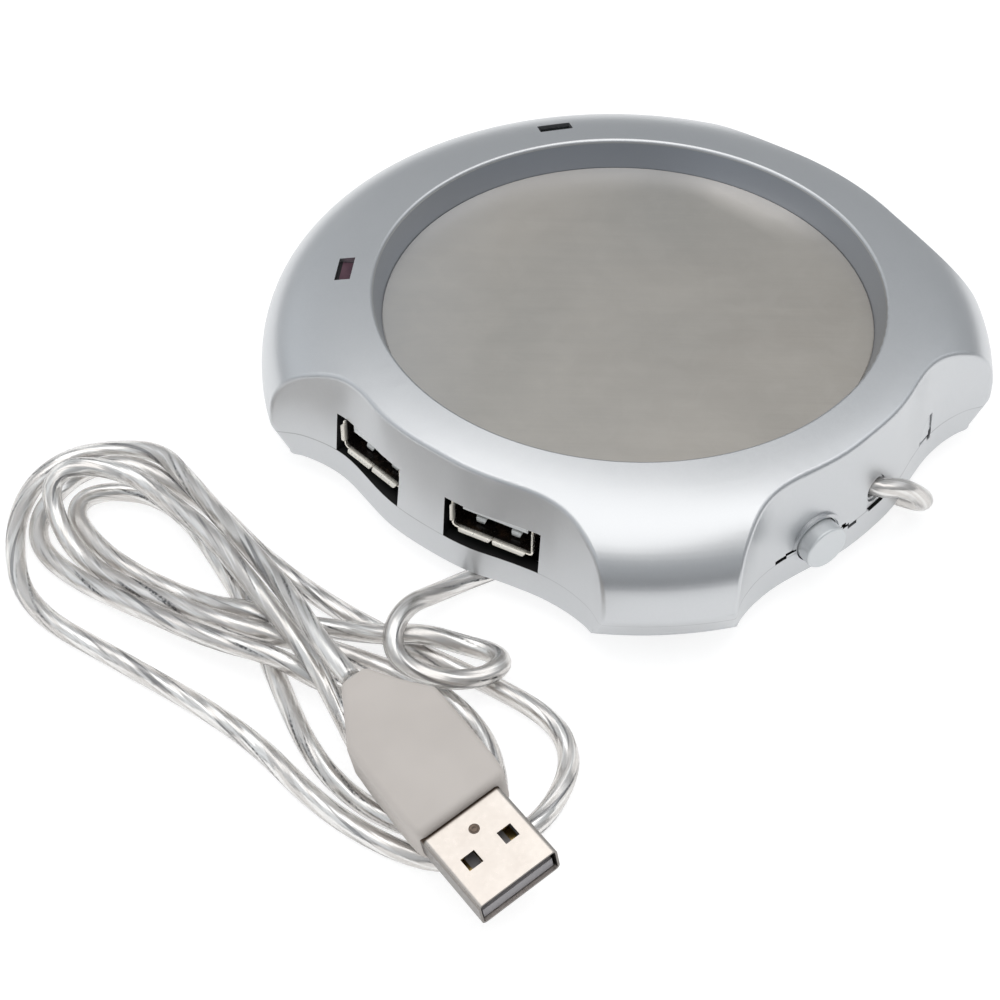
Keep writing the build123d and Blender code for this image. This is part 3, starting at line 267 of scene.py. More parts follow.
def steel_plate():
    """Brushed stainless, handled: faint fine lines, soft blotches, slightly warm; a painted reflection and a painted
    glint near the far edge, painted shade towards one side and a painted cool reflection towards the other.
    """
    s = Shader("heating_plate_steel")
    along = math.radians(53)
    patches = s.noise(30.0, 4.0, 0.6, distortion=0.5)
    warm = s.noise(14.0, 2.0, 0.5)
    lines = s.noise(1.0, 3.0, 0.6, vec=s.turned((60.0, 4200.0, 10.0), along))
    broad = s.noise(1.0, 2.0, 0.5, vec=s.turned((18.0, 420.0, 10.0), along))
    cross = s.noise(1.0, 2.0, 0.5, vec=s.turned((2600.0, 160.0, 10.0), along))
    a = s.mix(s.span(warm, 0.0, 1.0, 0.36, 0.64), (0.515, 0.492, 0.455), (0.560, 0.515, 0.462))
    a = s.mix(s.math("MULTIPLY", s.span(patches, 0.0, 1.0, 0.38, 0.68), 0.45), a, (0.600, 0.568, 0.520))
    a = s.mix(s.math("MULTIPLY", s.span(broad, 0.0, 1.0, 0.40, 0.66), 0.12), a, (0.46, 0.44, 0.41))
    pos = s.node("ShaderNodeSeparateXYZ")
    s.link(s.coord, pos.inputs[0])
    px, py = pos.outputs[0], pos.outputs[1]
    # painted reflection: a pale band near the far edge, where the well's wall would be mirrored
    shift = s.math("MULTIPLY", s.math("SUBTRACT", s.noise(45.0, 2.0, 0.5), 0.5), 0.010)
    reach = s.math("ADD", s.math("SQRT", s.math("MULTIPLY_ADD", px, px, s.math("MULTIPLY", py, py))), shift)
    back = s.span(s.math("MULTIPLY_ADD", px, 0.68, s.math("MULTIPLY", py, 0.73)), 0.0, 1.0, 0.018, 0.036)
    wall_reflection = s.math("MULTIPLY", s.span(reach, 0.0, 1.0, 0.0295, 0.0350), back)
    a = s.mix(s.math("MULTIPLY", wall_reflection, 0.45), a, (0.74, 0.70, 0.65))
    # painted highlight: a bright warm glint near the +x edge
    glint = s.math("MULTIPLY", s.span(s.math("ADD", px, shift), 0.0, 1.0, 0.0290, 0.0345),
                   s.span(s.math("ABSOLUTE", s.math("SUBTRACT", py, 0.0012)), 1.0, 0.0, 0.006, 0.015))
    a = s.mix(s.math("MULTIPLY", glint, 0.75), a, (0.95, 0.89, 0.82))
    # painted shade: darker and warmer towards +x, -y
    side = s.span(s.math("MULTIPLY_ADD", px, 0.559, s.math("MULTIPLY", py, -0.829)), 0.0, 1.0, 0.0, 0.038)
    a = s.mix(s.math("MULTIPLY", side, 0.45), a, (0.430, 0.405, 0.365))
    # painted reflection: cooler and bluer towards -x, +y
    cool = s.span(s.math("MULTIPLY_ADD", px, -0.559, s.math("MULTIPLY", py, 0.829)), 0.0, 1.0, 0.020, 0.036)
    a = s.mix(s.math("MULTIPLY", cool, 0.40), a, (0.50, 0.515, 0.535))
    mottle = s.noise(220.0, 4.0, 0.65, distortion=0.8)
    a = s.mix(s.math("MULTIPLY", s.span(mottle, 0.0, 1.0, 0.42, 0.66), 0.16), a, (0.63, 0.60, 0.555))
    a = s.mix(s.math("MULTIPLY", s.span(lines, 0.0, 1.0, 0.35, 0.7), 0.10), a, (0.68, 0.65, 0.60))
    rough = s.math("MULTIPLY_ADD", s.span(patches, 0.0, 1.0, 0.3, 0.7), 0.06, s.span(lines, 0.34, 0.39, 0.3, 0.7))
    n = s.bump(lines, 0.05, 0.00003)
    n = s.bump(cross, 0.03, 0.00002, n)
    return s.surface(a, rough, 1.0, n)


def simple(name, color, rough, metallic=0.0, grain=900.0, depth=0.00004, vary=0.12, **extra):
    s = Shader(name)
    g = s.noise(grain, 3.0, 0.6)
    w = s.noise(grain / 12.0, 2.0, 0.5)
    dark = tuple(c * (1 - vary) for c in color)
    light = tuple(min(1.0, c * (1 + vary) + 0.004) for c in color)
    col = s.mix(s.span(w, 0.0, 1.0, 0.35, 0.65), dark, light)
    return s.surface(col, s.span(g, max(0.02, rough - 0.05), rough + 0.05, 0.3, 0.7), metallic, s.bump(g, 0.15, depth), **extra)


def into_port(s, n):
    """How far in front of socket n's mouth a point lies, along the way the mouth faces."""
    (cx, cy), facing, _ = PORTS[n - 1]
    c, t = math.cos(math.radians(facing)), math.sin(math.radians(facing))
    sep = s.node("ShaderNodeSeparateXYZ")
    s.link(s.coord, sep.inputs[0])
    return s.math("SUBTRACT", s.math("MULTIPLY_ADD", sep.outputs[0], c, s.math("MULTIPLY", sep.outputs[1], t)), cx * c + cy * t)


def socket_shell(n):
    """Tinned steel, bright at the mouth's edge, with painted shade further in, where no light comes, ranging from
    near-black to dark brown.
    """
    s = Shader(f"socket_shell_{n}")
    g = s.noise(1200.0, 3.0, 0.6)
    shade_mix = s.noise(500.0, 3.0, 0.6)
    depth = into_port(s, n)
    edge = s.span(depth, 0.0, 1.0, -0.00045, -0.00020)
    # painted shade: near-black to dark brown behind the mouth's edge
    dark = s.mix(s.span(shade_mix, 0.0, 1.0, 0.5, 0.7), (0.008, 0.006, 0.005), (0.030, 0.018, 0.011))
    col = s.mix(edge, dark, (0.86, 0.82, 0.74))
    return s.surface(col, s.span(g, 0.22, 0.32, 0.3, 0.7), s.math("MULTIPLY", edge, 0.9), s.bump(g, 0.12, 0.00002))


def socket_tongue(n):
    """Pale tongue with painted shade deeper in the socket, where it fades to near-black."""
    s = Shader(f"socket_tongue_{n}")
    g = s.noise(900.0, 3.0, 0.6)
    lit = s.span(into_port(s, n), 0.0, 1.0, -0.0045, -0.0015)
    col = s.mix(lit, (0.006, 0.006, 0.006), (0.90, 0.91, 0.91))
    return s.surface(col, s.span(g, 0.34, 0.44, 0.3, 0.7), 0.0, s.bump(g, 0.12, 0.00003))


PLUG_AT = Vector((-0.08401793, -0.03727783, 0.00555128))
PLUG_NOSE = Vector((-0.24588, -0.96888, -0.02867))
PLUG_SIDE = Vector((0.95122, -0.24687, 0.18503))
PLUG_UP = Vector((-0.18634, 0.01823, 0.98232))


def plug_metal():
    """Nickel: pale on the flat, with painted shade on the narrow sides and a band of painted shade where it enters the
    overmould.
    """
    s = Shader("plug_nickel")
    pos = s.node("ShaderNodeSeparateXYZ")
    s.link(s.coord, pos.inputs[0])
    nrm = s.node("ShaderNodeSeparateXYZ")
    s.link(s.node("ShaderNodeNewGeometry").outputs["True Normal"], nrm.inputs[0])
    dot = lambda sep, v: s.math("MULTIPLY_ADD", sep.outputs[0], v.x, s.math("MULTIPLY_ADD", sep.outputs[1], v.y, s.math("MULTIPLY", sep.outputs[2], v.z)))
    along = s.math("SUBTRACT", dot(pos, PLUG_NOSE), PLUG_AT.dot(PLUG_NOSE))
    flat = s.span(s.math("ABSOLUTE", dot(nrm, PLUG_UP)), 0.0, 1.0, 0.45, 0.85)
    g = s.noise(1500.0, 3.0, 0.6)
    w = s.noise(160.0, 3.0, 0.6)
    face = s.mix(s.span(w, 0.0, 1.0, 0.35, 0.65), (0.600, 0.548, 0.502), (0.660, 0.610, 0.562))
    # painted shade: the narrow sides, whose faces turn away from up and down, are painted darker
    col = s.mix(flat, (0.235, 0.215, 0.200), face)
    # painted shade: a dark band within about half a millimetre of the overmould
    shade_mix = s.span(along, 1.0, 0.0, 0.00025, 0.00055)
    col = s.mix(shade_mix, col, (0.075, 0.055, 0.042))
    return s.surface(col, s.span(g, 0.26, 0.34, 0.3, 0.7), 1.0, s.bump(g, 0.10, 0.000006))


def lit_window():
    """Maroon lens with painted shade along two sides, where the black edge of its pocket shows."""
    s = Shader("window_maroon")
    lo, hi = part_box("heat_indicator_window")
    mid = (Vector(lo) + Vector(hi)) / 2
    az = math.radians(123.0)
    sep = s.node("ShaderNodeSeparateXYZ")
    s.link(s.coord, sep.inputs[0])
    x, y = s.math("SUBTRACT", sep.outputs[0], mid.x), s.math("SUBTRACT", sep.outputs[1], mid.y)
    u = s.math("MULTIPLY_ADD", x, math.cos(az), s.math("MULTIPLY", y, math.sin(az)))
    v = s.math("MULTIPLY_ADD", x, -math.sin(az), s.math("MULTIPLY", y, math.cos(az)))
    g = s.noise(300.0, 3.0, 0.6)
    lens = s.mix(s.span(g, 0.0, 1.0, 0.35, 0.65), (0.060, 0.026, 0.040), (0.095, 0.045, 0.062))
    # painted shade: near-black along two sides of the lens
    rim = s.math("MAXIMUM", s.math("GREATER_THAN", u, 0.00070), s.math("GREATER_THAN", v, 0.00205))
    col = s.mix(rim, lens, (0.004, 0.003, 0.004))
    return s.surface(col, 0.22, 0.0, s.bump(g, 0.1, 0.00001), Specular_IOR_Level=0.3)


MATS = {
    "housing": housing_material(),
    "button": Shader("button_lacquer").surface((0.70, 0.72, 0.73), 0.32, 0.35),
    "collar": painted_small("collar_lacquer", (0.70, 0.71, 0.72), 0.35, 0.40),
    "plate": steel_plate(),
    "black": simple("black_plastic", (0.010, 0.010, 0.010), 0.45),
    "white": simple("white_plastic", (0.62, 0.61, 0.58), 0.40),
    "tongue": simple("tongue_plastic", (0.50, 0.51, 0.52), 0.38),
    "screw": simple("zinc_steel", (0.52, 0.52, 0.50), 0.34, 1.0, 1500.0),
    "nickel": simple("socket_nickel", (0.60, 0.575, 0.53), 0.24, 1.0, 1200.0, 0.00002),
    "lip": simple("socket_lip", (0.88, 0.84, 0.76), 0.30, 0.55, 1200.0, 0.00001, 0.03),
    "chrome": plug_metal(),
    "gold": simple("contact_gold", (0.78, 0.56, 0.22), 0.24, 1.0, 1200.0),
    "board": simple("board_green", (0.02, 0.13, 0.05), 0.35),
    "felt": simple("felt", (0.66, 0.64, 0.58), 0.9, 0.0, 2500.0, 0.0002),
    "silicone": simple("silicone_orange", (0.40, 0.12, 0.05), 0.6),
    "wire": simple("wire_red", (0.45, 0.04, 0.03), 0.4),
    "led": simple("led_epoxy", (0.55, 0.10, 0.07), 0.15),
    "rubber": simple("foot_rubber", (0.035, 0.035, 0.036), 0.75, 0.0, 1800.0, 0.00008),
    "red_window": lit_window(),
    "black_window": simple("window_black", (0.003, 0.004, 0.005), 0.45, 0.0, 300.0, 0.00001, 0.2, Specular_IOR_Level=0.12),
    "overmold": simple("plug_grey", (0.590, 0.543, 0.505), 0.55, 0.0, 1300.0, 0.00006, 0.03, Specular_IOR_Level=0.35),
    "nose": simple("plug_insulator_grey", (0.36, 0.345, 0.355), 0.5),
    "spring": simple("spring_tin", (0.90, 0.91, 0.89), 0.34, 0.25, 1200.0, 0.00001, 0.03),
}
LOOK = {
    "top_cover": "housing", "base_cover": "housing", "heating_plate": "plate", "plate_retaining_ring": "black",
    "retaining_ring_screws": "screw", "heater_element": "silicone", "insulation_pad": "felt", "thermal_fuse": "screw",
    "heater_leads": "wire", "hub_circuit_board": "board", "board_screws": "screw", "hub_controller_chip": "black",
    "clock_crystal": "nickel", "capacitors": "screw", "heat_indicator_led": "led", "heat_indicator_window": "red_window",
    "hub_indicator_led": "led", "hub_indicator_window": "black_window", "power_switch_body": "black",
    "switch_plunger": "white", "switch_spring": "screw", "power_button": "button", "dc_jack_body": "black",
    "case_screws": "screw", "rubber_feet": "rubber", "cord_grip": "black", "cord_wires": "wire",
    "plug_overmold": "overmold", "plug_shell": "chrome", "plug_insulator": "nose", "plug_contacts": "gold",
}
for n in range(1, 5):
    MATS[f"shell_{n}"], MATS[f"tongue_{n}"] = socket_shell(n), socket_tongue(n)
    LOOK[f"usb_socket_shell_{n}"] = f"shell_{n}"
    LOOK[f"usb_socket_insulator_{n}"] = f"tongue_{n}"
    LOOK[f"usb_socket_contacts_{n}"] = "gold"
for node, look in LOOK.items():
    ob = NODES[node]
    if not ob.material_slots:
        ob.data.materials.append(MATS[look])
    for slot in ob.material_slots:
        slot.material = MATS[look]


# ---------------------------------------------------------------- the cord
ROUTE = [
    (-0.0023, -0.04394, 0.0105), (-0.00249, -0.04753, 0.0105), (0.00015, -0.0496, 0.01035), (0.00317, -0.05127, 0.00765),
    (0.0057, -0.0517, 0.0047), (0.007, -0.0502, 0.00225), (0.0069, -0.0458, 0.00147), (0.00433, -0.03855, 0.00147),
    (-0.00117, -0.03266, 0.00147), (-0.00984, -0.02734, 0.0016), (-0.02248, -0.02021, 0.00157), (-0.03587, -0.01252, 0.00147),
    (-0.04594, -0.00812, 0.00147), (-0.05438, -0.0063, 0.00304), (-0.06001, -0.00732, 0.00671), (-0.06467, -0.00864, 0.00775),
    (-0.06746, -0.01049, 0.0066), (-0.06822, -0.01356, 0.00533), (-0.06628, -0.01896, 0.00461), (-0.06291, -0.0224, 0.00462),
    (-0.0599, -0.02315, 0.0044), (-0.05775, -0.02215, 0.0035), (-0.0569, -0.0196, 0.0026), (-0.05815, -0.0157, 0.00236),
    (-0.06162, -0.01114, 0.00461), (-0.06504, -0.00678, 0.00421), (-0.06703, 0.00041, 0.00181), (-0.07139, 0.0063, 0.00306),
    (-0.07409, 0.01045, 0.00506), (-0.07513, 0.01727, 0.00198), (-0.07681, 0.02658, 0.00147), (-0.07736, 0.03463, 0.00147),
    (-0.07655, 0.04097, 0.00147), (-0.07505, 0.04566, 0.00174), (-0.07279, 0.04739, 0.00196), (-0.07022, 0.04731, 0.00191),
    (-0.06674, 0.04485, 0.00158), (-0.06408, 0.03974, 0.00147), (-0.06435, 0.03275, 0.00147), (-0.06822, 0.02284, 0.00309),
    (-0.07175, 0.01296, 0.00147), (-0.07986, -0.00115, 0.00147), (-0.08622, -0.01297, 0.00253), (-0.08736, -0.02177, 0.00147),
    (-0.08611, -0.02954, 0.00155), (-0.0834, -0.03481, 0.00147), (-0.08019, -0.03689, 0.00147), (-0.0764, -0.03638, 0.00157),
    (-0.07155, -0.03238, 0.00184), (-0.06755, -0.02567, 0.00159), (-0.06616, -0.01613, 0.00158), (-0.06938, -0.00325, 0.00147),
    (-0.07473, 0.00456, 0.00448), (-0.07784, 0.0124, 0.00448), (-0.07957, 0.02475, 0.00276), (-0.08048, 0.0337, 0.00156),
    (-0.07978, 0.04048, 0.00168), (-0.07813, 0.04586, 0.00331), (-0.07633, 0.04894, 0.00593), (-0.07432, 0.04951, 0.00742),
    (-0.07187, 0.04856, 0.00816), (-0.06878, 0.04508, 0.00791), (-0.06682, 0.0395, 0.00727), (-0.06742, 0.03225, 0.00703),
    (-0.06857, 0.02271, 0.00758), (-0.07257, 0.00958, 0.00774), (-0.07544, -0.0025, 0.00633), (-0.07844, -0.01049, 0.00375),
    (-0.08117, -0.01684, 0.00194), (-0.0824, -0.02243, 0.00175), (-0.08157, -0.02642, 0.00147), (-0.07936, -0.02821, 0.00147),
    (-0.07589, -0.02833, 0.00171), (-0.07198, -0.0257, 0.00189), (-0.07066, -0.02067, 0.00171), (-0.07263, -0.01332, 0.00147),
    (-0.07558, -0.00404, 0.00179), (-0.07762, 0.00143, 0.00485), (-0.08079, 0.01111, 0.0042), (-0.0823, 0.02136, 0.00359),
    (-0.08365, 0.03483, 0.00178), (-0.08291, 0.04534, 0.00147), (-0.07751, 0.05099, 0.00147), (-0.06958, 0.05278, 0.00158),
    (-0.06439, 0.05093, 0.00191), (-0.06166, 0.04699, 0.00209), (-0.06053, 0.04017, 0.00147), (-0.06068, 0.03047, 0.00199),
    (-0.06317, 0.0194, 0.00147), (-0.06411, 0.00354, 0.00147), (-0.06234, -0.01337, 0.00147), (-0.06036, -0.02534, 0.00147),
    (-0.06068, -0.03475, 0.00169), (-0.06567, -0.04051, 0.00147), (-0.07665, -0.04266, 0.00154), (-0.0869, -0.03792, 0.00147),
    (-0.09015, -0.03012, 0.00155), (-0.09091, -0.01783, 0.00147), (-0.08805, -0.00259, 0.00147), (-0.08999, 0.01881, 0.00157),
    (-0.09196, 0.03774, 0.00147), (-0.08381, 0.05002, 0.00148), (-0.07465, 0.05649, 0.00147), (-0.06677, 0.05667, 0.00162),
    (-0.06095, 0.05259, 0.00147), (-0.05788, 0.04514, 0.00337), (-0.06112, 0.03548, 0.00517), (-0.06446, 0.02392, 0.00575),
    (-0.06865, 0.01136, 0.008), (-0.0719, 0.0035, 0.0098), (-0.07435, -0.002, 0.01055), (-0.07648, -0.00786, 0.01071),
    (-0.07779, -0.013, 0.01056),
]
CORD_D = 0.0029
COLLAR_OUT = 0.0470

curve = bpy.data.curves.new("usb_cord_jacket", "CURVE")
curve.dimensions = "3D"
spline = curve.splines.new("NURBS")
spline.points.add(len(ROUTE) - 1)
for point, xyz in zip(spline.points, ROUTE):
    point.co = (*xyz, 1.0)
spline.order_u = 3
spline.use_endpoint_u = True
spline.resolution_u = 8
curve.resolution_u = 8
jacket = bpy.data.objects.new("usb_cord_jacket", curve)
bpy.context.scene.collection.objects.link(jacket)
bpy.context.view_layer.update()
bare = bpy.data.meshes.new_from_object(jacket.evaluated_get(bpy.context.evaluated_depsgraph_get()))
LINE = [v.co.copy() for v in bare.vertices]
bpy.data.meshes.remove(bare)
curve.bevel_depth = CORD_D / 2
curve.bevel_resolution = 5
curve.use_fill_caps = True


def resample(points, step):
    out, left = [points[0].copy()], step
    for a, b in zip(points, points[1:]):
        d = (b - a).length
        while d >= left:
            a = a + (b - a) * (left / d)
            out.append(a.copy())
            d = (b - a).length
            left = step
        left -= d
    return out


def frames(points):
    """Parallel-transported normals along a line."""
    res = []
    nrm = None
    for i, p in enumerate(points):
        t = (points[min(i + 1, len(points) - 1)] - points[max(i - 1, 0)]).normalized()
        if nrm is None:
            nrm = t.orthogonal().normalized()
        nrm = (nrm - t * nrm.dot(t)).normalized()
        res.append((p, t, nrm, t.cross(nrm)))
    return res


def mesh_object(name, bm, mat, smooth=True, body=HOUSING):
    bmesh.ops.recalc_face_normals(bm, faces=bm.faces)
    me = bpy.data.meshes.new(name)
    bm.to_mesh(me)
    bm.free()
    for p in me.polygons:
        p.use_smooth = smooth
    me.materials.append(mat)
    ob = bpy.data.objects.new(name, me)
    bpy.context.scene.collection.objects.link(ob)
    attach(ob, body)
    return ob


def foil_material():
    """Bright tinned braid under foil: long streaks that follow the lay of the strands, whitened as painted highlights,
    with painted shade in dark patches and in the braid's gaps.
    """
    s = Shader("tinned_foil")
    att = s.node("ShaderNodeAttribute", attribute_name="lay")
    vec = att.outputs["Vector"]
    streak = s.noise(1.0, 2.0, 0.5, vec=s.scaled((1.5, 1.5, 85.0), src=vec))
    fine = s.noise(1.0, 3.0, 0.65, vec=s.scaled((7.0, 7.0, 260.0), src=vec))
    weave = s.noise(1.0, 2.0, 0.5, vec=s.scaled((3.0, 3.0, 2400.0), src=vec))
    patch = s.noise(1.0, 1.0, 0.5, vec=s.scaled((0.8, 0.8, 45.0), src=vec))
    dark = s.noise(1.0, 2.0, 0.5, vec=s.scaled((1.3, 1.3, 60.0), (0.4, 0.2, 0.1), src=vec))
    # painted highlight: streaks along the lay brightened to near-white
    col = s.mix(s.span(streak, 0.0, 1.0, 0.49, 0.55), (0.79, 0.765, 0.74), (1.0, 0.99, 0.97))
    col = s.mix(s.span(fine, 0.0, 0.08, 0.5, 0.72), col, (0.55, 0.53, 0.51))
    # painted shade: dark patches
    shade = s.noise(1.0, 2.0, 0.5, vec=s.scaled((1.1, 1.1, 38.0), (0.7, 0.1, 0.3), src=vec))
    col = s.mix(s.span(shade, 0.0, 0.70, 0.635, 0.665), col, (0.20, 0.20, 0.21))
    # painted shade: dark hatching in the braid's gaps
    hatch = s.math("MULTIPLY", s.span(dark, 0.0, 1.0, 0.60, 0.68), s.span(weave, 0.35, 1.0, 0.40, 0.60))
    col = s.mix(hatch, col, (0.10, 0.10, 0.105))
    rough = s.math("MULTIPLY_ADD", s.span(patch, 0.0, 1.0, 0.35, 0.65), 0.16, 0.11)
    n = s.bump(streak, 0.26, 0.00034)
    n = s.bump(fine, 0.08, 0.00008, n)
    return s.surface(col, rough, 0.66, n)


def jacket_material():
    s = Shader("clear_pvc")
    wave = s.noise(120.0, 2.0, 0.5)
    n = s.bump(wave, 0.12, 0.0002)
    return s.surface((0.985, 0.98, 0.975), 0.035, 0.0, n, Transmission_Weight=1.0, IOR=1.38)


CLEAR = jacket_material()
curve.materials.append(CLEAR)
fine_line = frames(resample(LINE, 0.0010))
AROUND = 36
bm = bmesh.new()
lay = bm.verts.layers.float_vector.new("lay")
rings = []
for i, (p, t, a, b) in enumerate(fine_line):
    s_ = i * 0.0010
    twist = 2 * math.pi * s_ / 0.040 + 0.7 * math.sin(s_ / 0.031)
    ring = []
    for j in range(AROUND):
        q = 2 * math.pi * j / AROUND
        flute = math.cos(5 * (q - twist)) * (0.6 + 0.4 * math.sin(s_ / 0.009 + 1.3 * j / AROUND))
        loose = math.sin(2 * q - 1.7 * twist + math.sin(s_ / 0.017))
        rad = 0.00102 + 0.000040 * flute + 0.00004 * loose
        v = bm.verts.new(p + (a * math.cos(q) + b * math.sin(q)) * rad)
        v[lay] = (math.cos(q - twist), math.sin(q - twist), s_)
        ring.append(v)
    rings.append(ring)
for ra, rb in zip(rings, rings[1:]):
    for j in range(AROUND):
        bm.faces.new((ra[j], ra[(j + 1) % AROUND], rb[(j + 1) % AROUND], rb[j]))
bm.faces.new(list(reversed(rings[0])))
bm.faces.new(rings[-1])
strands = mesh_object("usb_cord_braid", bm, foil_material())
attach(jacket, HOUSING)
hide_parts("usb_cord")



# ---------------------------------------------------------------- sheet-metal details
def strip(bm, place, profile, low, high, thick, taper=0.25):
    """Bent strip of sheet: profile is (out, rise) points, run between two sideways limits."""
    k = len(profile)
    top, under = [], []
    for i, (d, r) in enumerate(profile):
        (d0, r0), (d1, r1) = profile[max(i - 1, 0)], profile[min(i + 1, k - 1)]
        run = math.hypot(d1 - d0, r1 - r0)
        nd, nr = -(r1 - r0) / run, (d1 - d0) / run
        ease = taper * max(0.0, i / (k - 1) - 0.6) / 0.4
        lo, hi = low + ease, high - ease
        top.append([bm.verts.new(place(d, w, r)) for w in (lo, lo + 0.1, hi - 0.1, hi)])
        under.append([bm.verts.new(place(d - nd * thick, w, r - nr * thick)) for w in (lo, lo + 0.1, hi - 0.1, hi)])
    for rows in (top, under):
        for a, b in zip(rows, rows[1:]):
            for j in range(3):
                bm.faces.new((a[j], a[j + 1], b[j + 1], b[j]))
    for j in (0, 3):
        for i in range(k - 1):
            bm.faces.new((top[i][j], top[i + 1][j], under[i + 1][j], under[i][j]))
    for i in (0, k - 1):
        for j in range(3):
            bm.faces.new((top[i][j], top[i][j + 1], under[i][j + 1], under[i][j]))


def bend(radius, start, sweep, steps=7):
    """Quarter-round flare from the mouth's edge, as (out, rise)."""
    pts = [(-0.45, 0.0)]
    for i in range(steps + 1):
        a = math.radians(sweep) * i / steps
        pts.append((start + radius * math.sin(a), -radius * (1 - math.cos(a))))
    return pts


for n, ((cx, cy), facing, _) in enumerate(PORTS, 1):
    out = Vector((math.cos(math.radians(facing)), math.sin(math.radians(facing)), 0))
    side = Vector((-out.y, out.x, 0))
    base = Vector((cx, cy, 0))
    bm = bmesh.new()
    flare = bend(0.85, -0.15, 62)
    low = lambda d, w, r: base + (out * d + side * w + Vector((0, 0, 9.90 + r))) / 1000
    strip(bm, low, flare, -5.4, -0.12, 0.22)
    strip(bm, low, flare, 0.12, 5.4, 0.22)
    for sign in (-1, 1):
        wall = lambda d, w, r: base + (out * d + side * (sign * (6.20 - r)) + Vector((0, 0, w))) / 1000
        strip(bm, wall, bend(0.8, -0.15, 58), 10.75, 14.05, 0.22)
    lips = mesh_object(f"usb_socket_lips_{n}", bm, MATS["lip"])
    bm = bmesh.new()
    leaf = [(-3.1, 0.62), (-2.8, 0.92), (-2.5, 1.06), (-2.2, 1.04), (-1.98, 0.86), (-1.84, 0.56), (-1.80, 0.30)]
    for w in (-2.85, 2.85):
        strip(bm, low, leaf, w - 0.84, w + 0.84, 0.16, 0.22)
    mesh_object(f"usb_socket_springs_{n}", bm, MATS["spring"])

# painted collar that the cord comes out of
c, t = math.cos(math.radians(-93.0)), math.sin(math.radians(-93.0))
bm = bmesh.new()
rows = []
for out_, rad in ((0.0458, 0.00216), (COLLAR_OUT - 0.00012, 0.00216), (COLLAR_OUT, 0.00206), (COLLAR_OUT, 0.00176),
                  (COLLAR_OUT - 0.00012, 0.00166), (0.0458, 0.00164)):
    rows.append([bm.verts.new(Vector((c * out_, t * out_, 0.0105)) + (Vector((-t, c, 0)) * math.cos(q) + Vector((0, 0, 1)) * math.sin(q)) * rad)
                 for q in [2 * math.pi * k / 48 for k in range(48)]])
for ra, rb in zip(rows, rows[1:] + rows[:1]):
    for k in range(48):
        bm.faces.new((ra[k], ra[(k + 1) % 48], rb[(k + 1) % 48], rb[k]))
mesh_object("cord_outlet_collar", bm, MATS["collar"])

# silver flap over the supply inlet, a little below the recess wall around it
def wall_y(px, pz):
    hit, where, _, _ = NODES["top_cover"].ray_cast(Vector((px, -0.09, pz)), Vector((0, 1, 0)))
    return where.y if hit else -0.046


corners = [(0.0118, wall_y(0.0118, 0.0095), 0.0095), (0.0166, wall_y(0.0166, 0.0095), 0.0095), (0.0145, wall_y(0.0145, 0.0126), 0.0126)]
pa, pb, pc = [Vector(v) for v in corners]
tilt = (pb - pa).cross(pc - pa)
bm = bmesh.new()
flap = [(12.86, 7.74), (12.86, 8.42), (15.40, 11.28), (15.52, 11.42), (15.80, 11.42), (15.88, 11.30), (15.88, 8.55), (15.50, 8.45), (15.42, 7.74)]
faces = []
for sink in (0.00028, 0.00034, 0.00090):
    ease = 0.0 if sink > 0.0003 else 0.00006
    row = []
    for u, w in flap:
        u, w = u / 1000, w / 1000
        u += ease * (1 if u < 0.0145 else -1)
        w += ease * (1 if w < 0.0095 else -1)
        y0 = pa.y - ((u - pa.x) * tilt.x + (w - pa.z) * tilt.z) / tilt.y
        row.append(bm.verts.new((u, y0 + sink, w)))
    faces.append(row)
for ra, rb in zip(faces, faces[1:]):
    for k in range(len(flap)):
        bm.faces.new((ra[k], ra[(k + 1) % len(flap)], rb[(k + 1) % len(flap)], rb[k]))
bm.faces.new(faces[0])
bm.faces.new(list(reversed(faces[-1])))
mesh_object("supply_inlet_flap", bm, MATS["collar"], smooth=False)

# the pressed dimple on the plug's shell, painted dark as painted shade
nose, side, lift = PLUG_NOSE, PLUG_SIDE, PLUG_UP
spot = PLUG_AT + lift * 0.0045 + nose * 0.003
bm = bmesh.new()
rings = []
for rad, h in ((0.00074, -0.00002), (0.00068, 0.00004), (0.00060, 0.00007), (0.00052, 0.00005), (0.00045, 0.000005),
               (0.00036, 0.000003), (0.00026, 0.00003), (0.00014, 0.00006), (0.00003, 0.00007)):
    rings.append([bm.verts.new(spot + (side * math.cos(q) + nose * math.sin(q)) * rad + lift * h)
                  for q in [2 * math.pi * k / 28 for k in range(28)]])
for ra, rb in zip(rings, rings[1:]):
    for k in range(28):
        bm.faces.new((ra[k], ra[(k + 1) % 28], rb[(k + 1) % 28], rb[k]))
bm.faces.new(rings[-1])
dimple = mesh_object("plug_shell_dimple", bm, simple("dimple_nickel_shade", (0.13, 0.10, 0.08), 0.20, 1.0, 1500.0, 0.000006, 0.02))


# ---------------------------------------------------------------- floor and light
world = bpy.data.worlds.new("studio")
bpy.context.scene.world = world
world.use_nodes = True
nt = world.node_tree
bg = nt.nodes["Background"]


def wnode(kind, **props):
    n = nt.nodes.new(kind)
    for k, v in props.items():
        setattr(n, k, v)
    return n


def wspan(value, a, b):
    n = wnode("ShaderNodeMapRange", interpolation_type="SMOOTHSTEP")
    nt.links.new(value, n.inputs["Value"])
    n.inputs["From Min"].default_value, n.inputs["From Max"].default_value = a, b
    return n.outputs["Result"]


def wmath(op, a, b, clamp=False):
    n = wnode("ShaderNodeMath", operation=op, use_clamp=clamp)
    for v, sock in ((a, n.inputs[0]), (b, n.inputs[1])):
        if isinstance(v, bpy.types.NodeSocket):
            nt.links.new(v, sock)
        else:
            sock.default_value = v
    return n.outputs[0]


def wdot(direction):
    n = wnode("ShaderNodeVectorMath", operation="DOT_PRODUCT")
    nt.links.new(sky, n.inputs[0])
    n.inputs[1].default_value = direction
    return n.outputs["Value"]


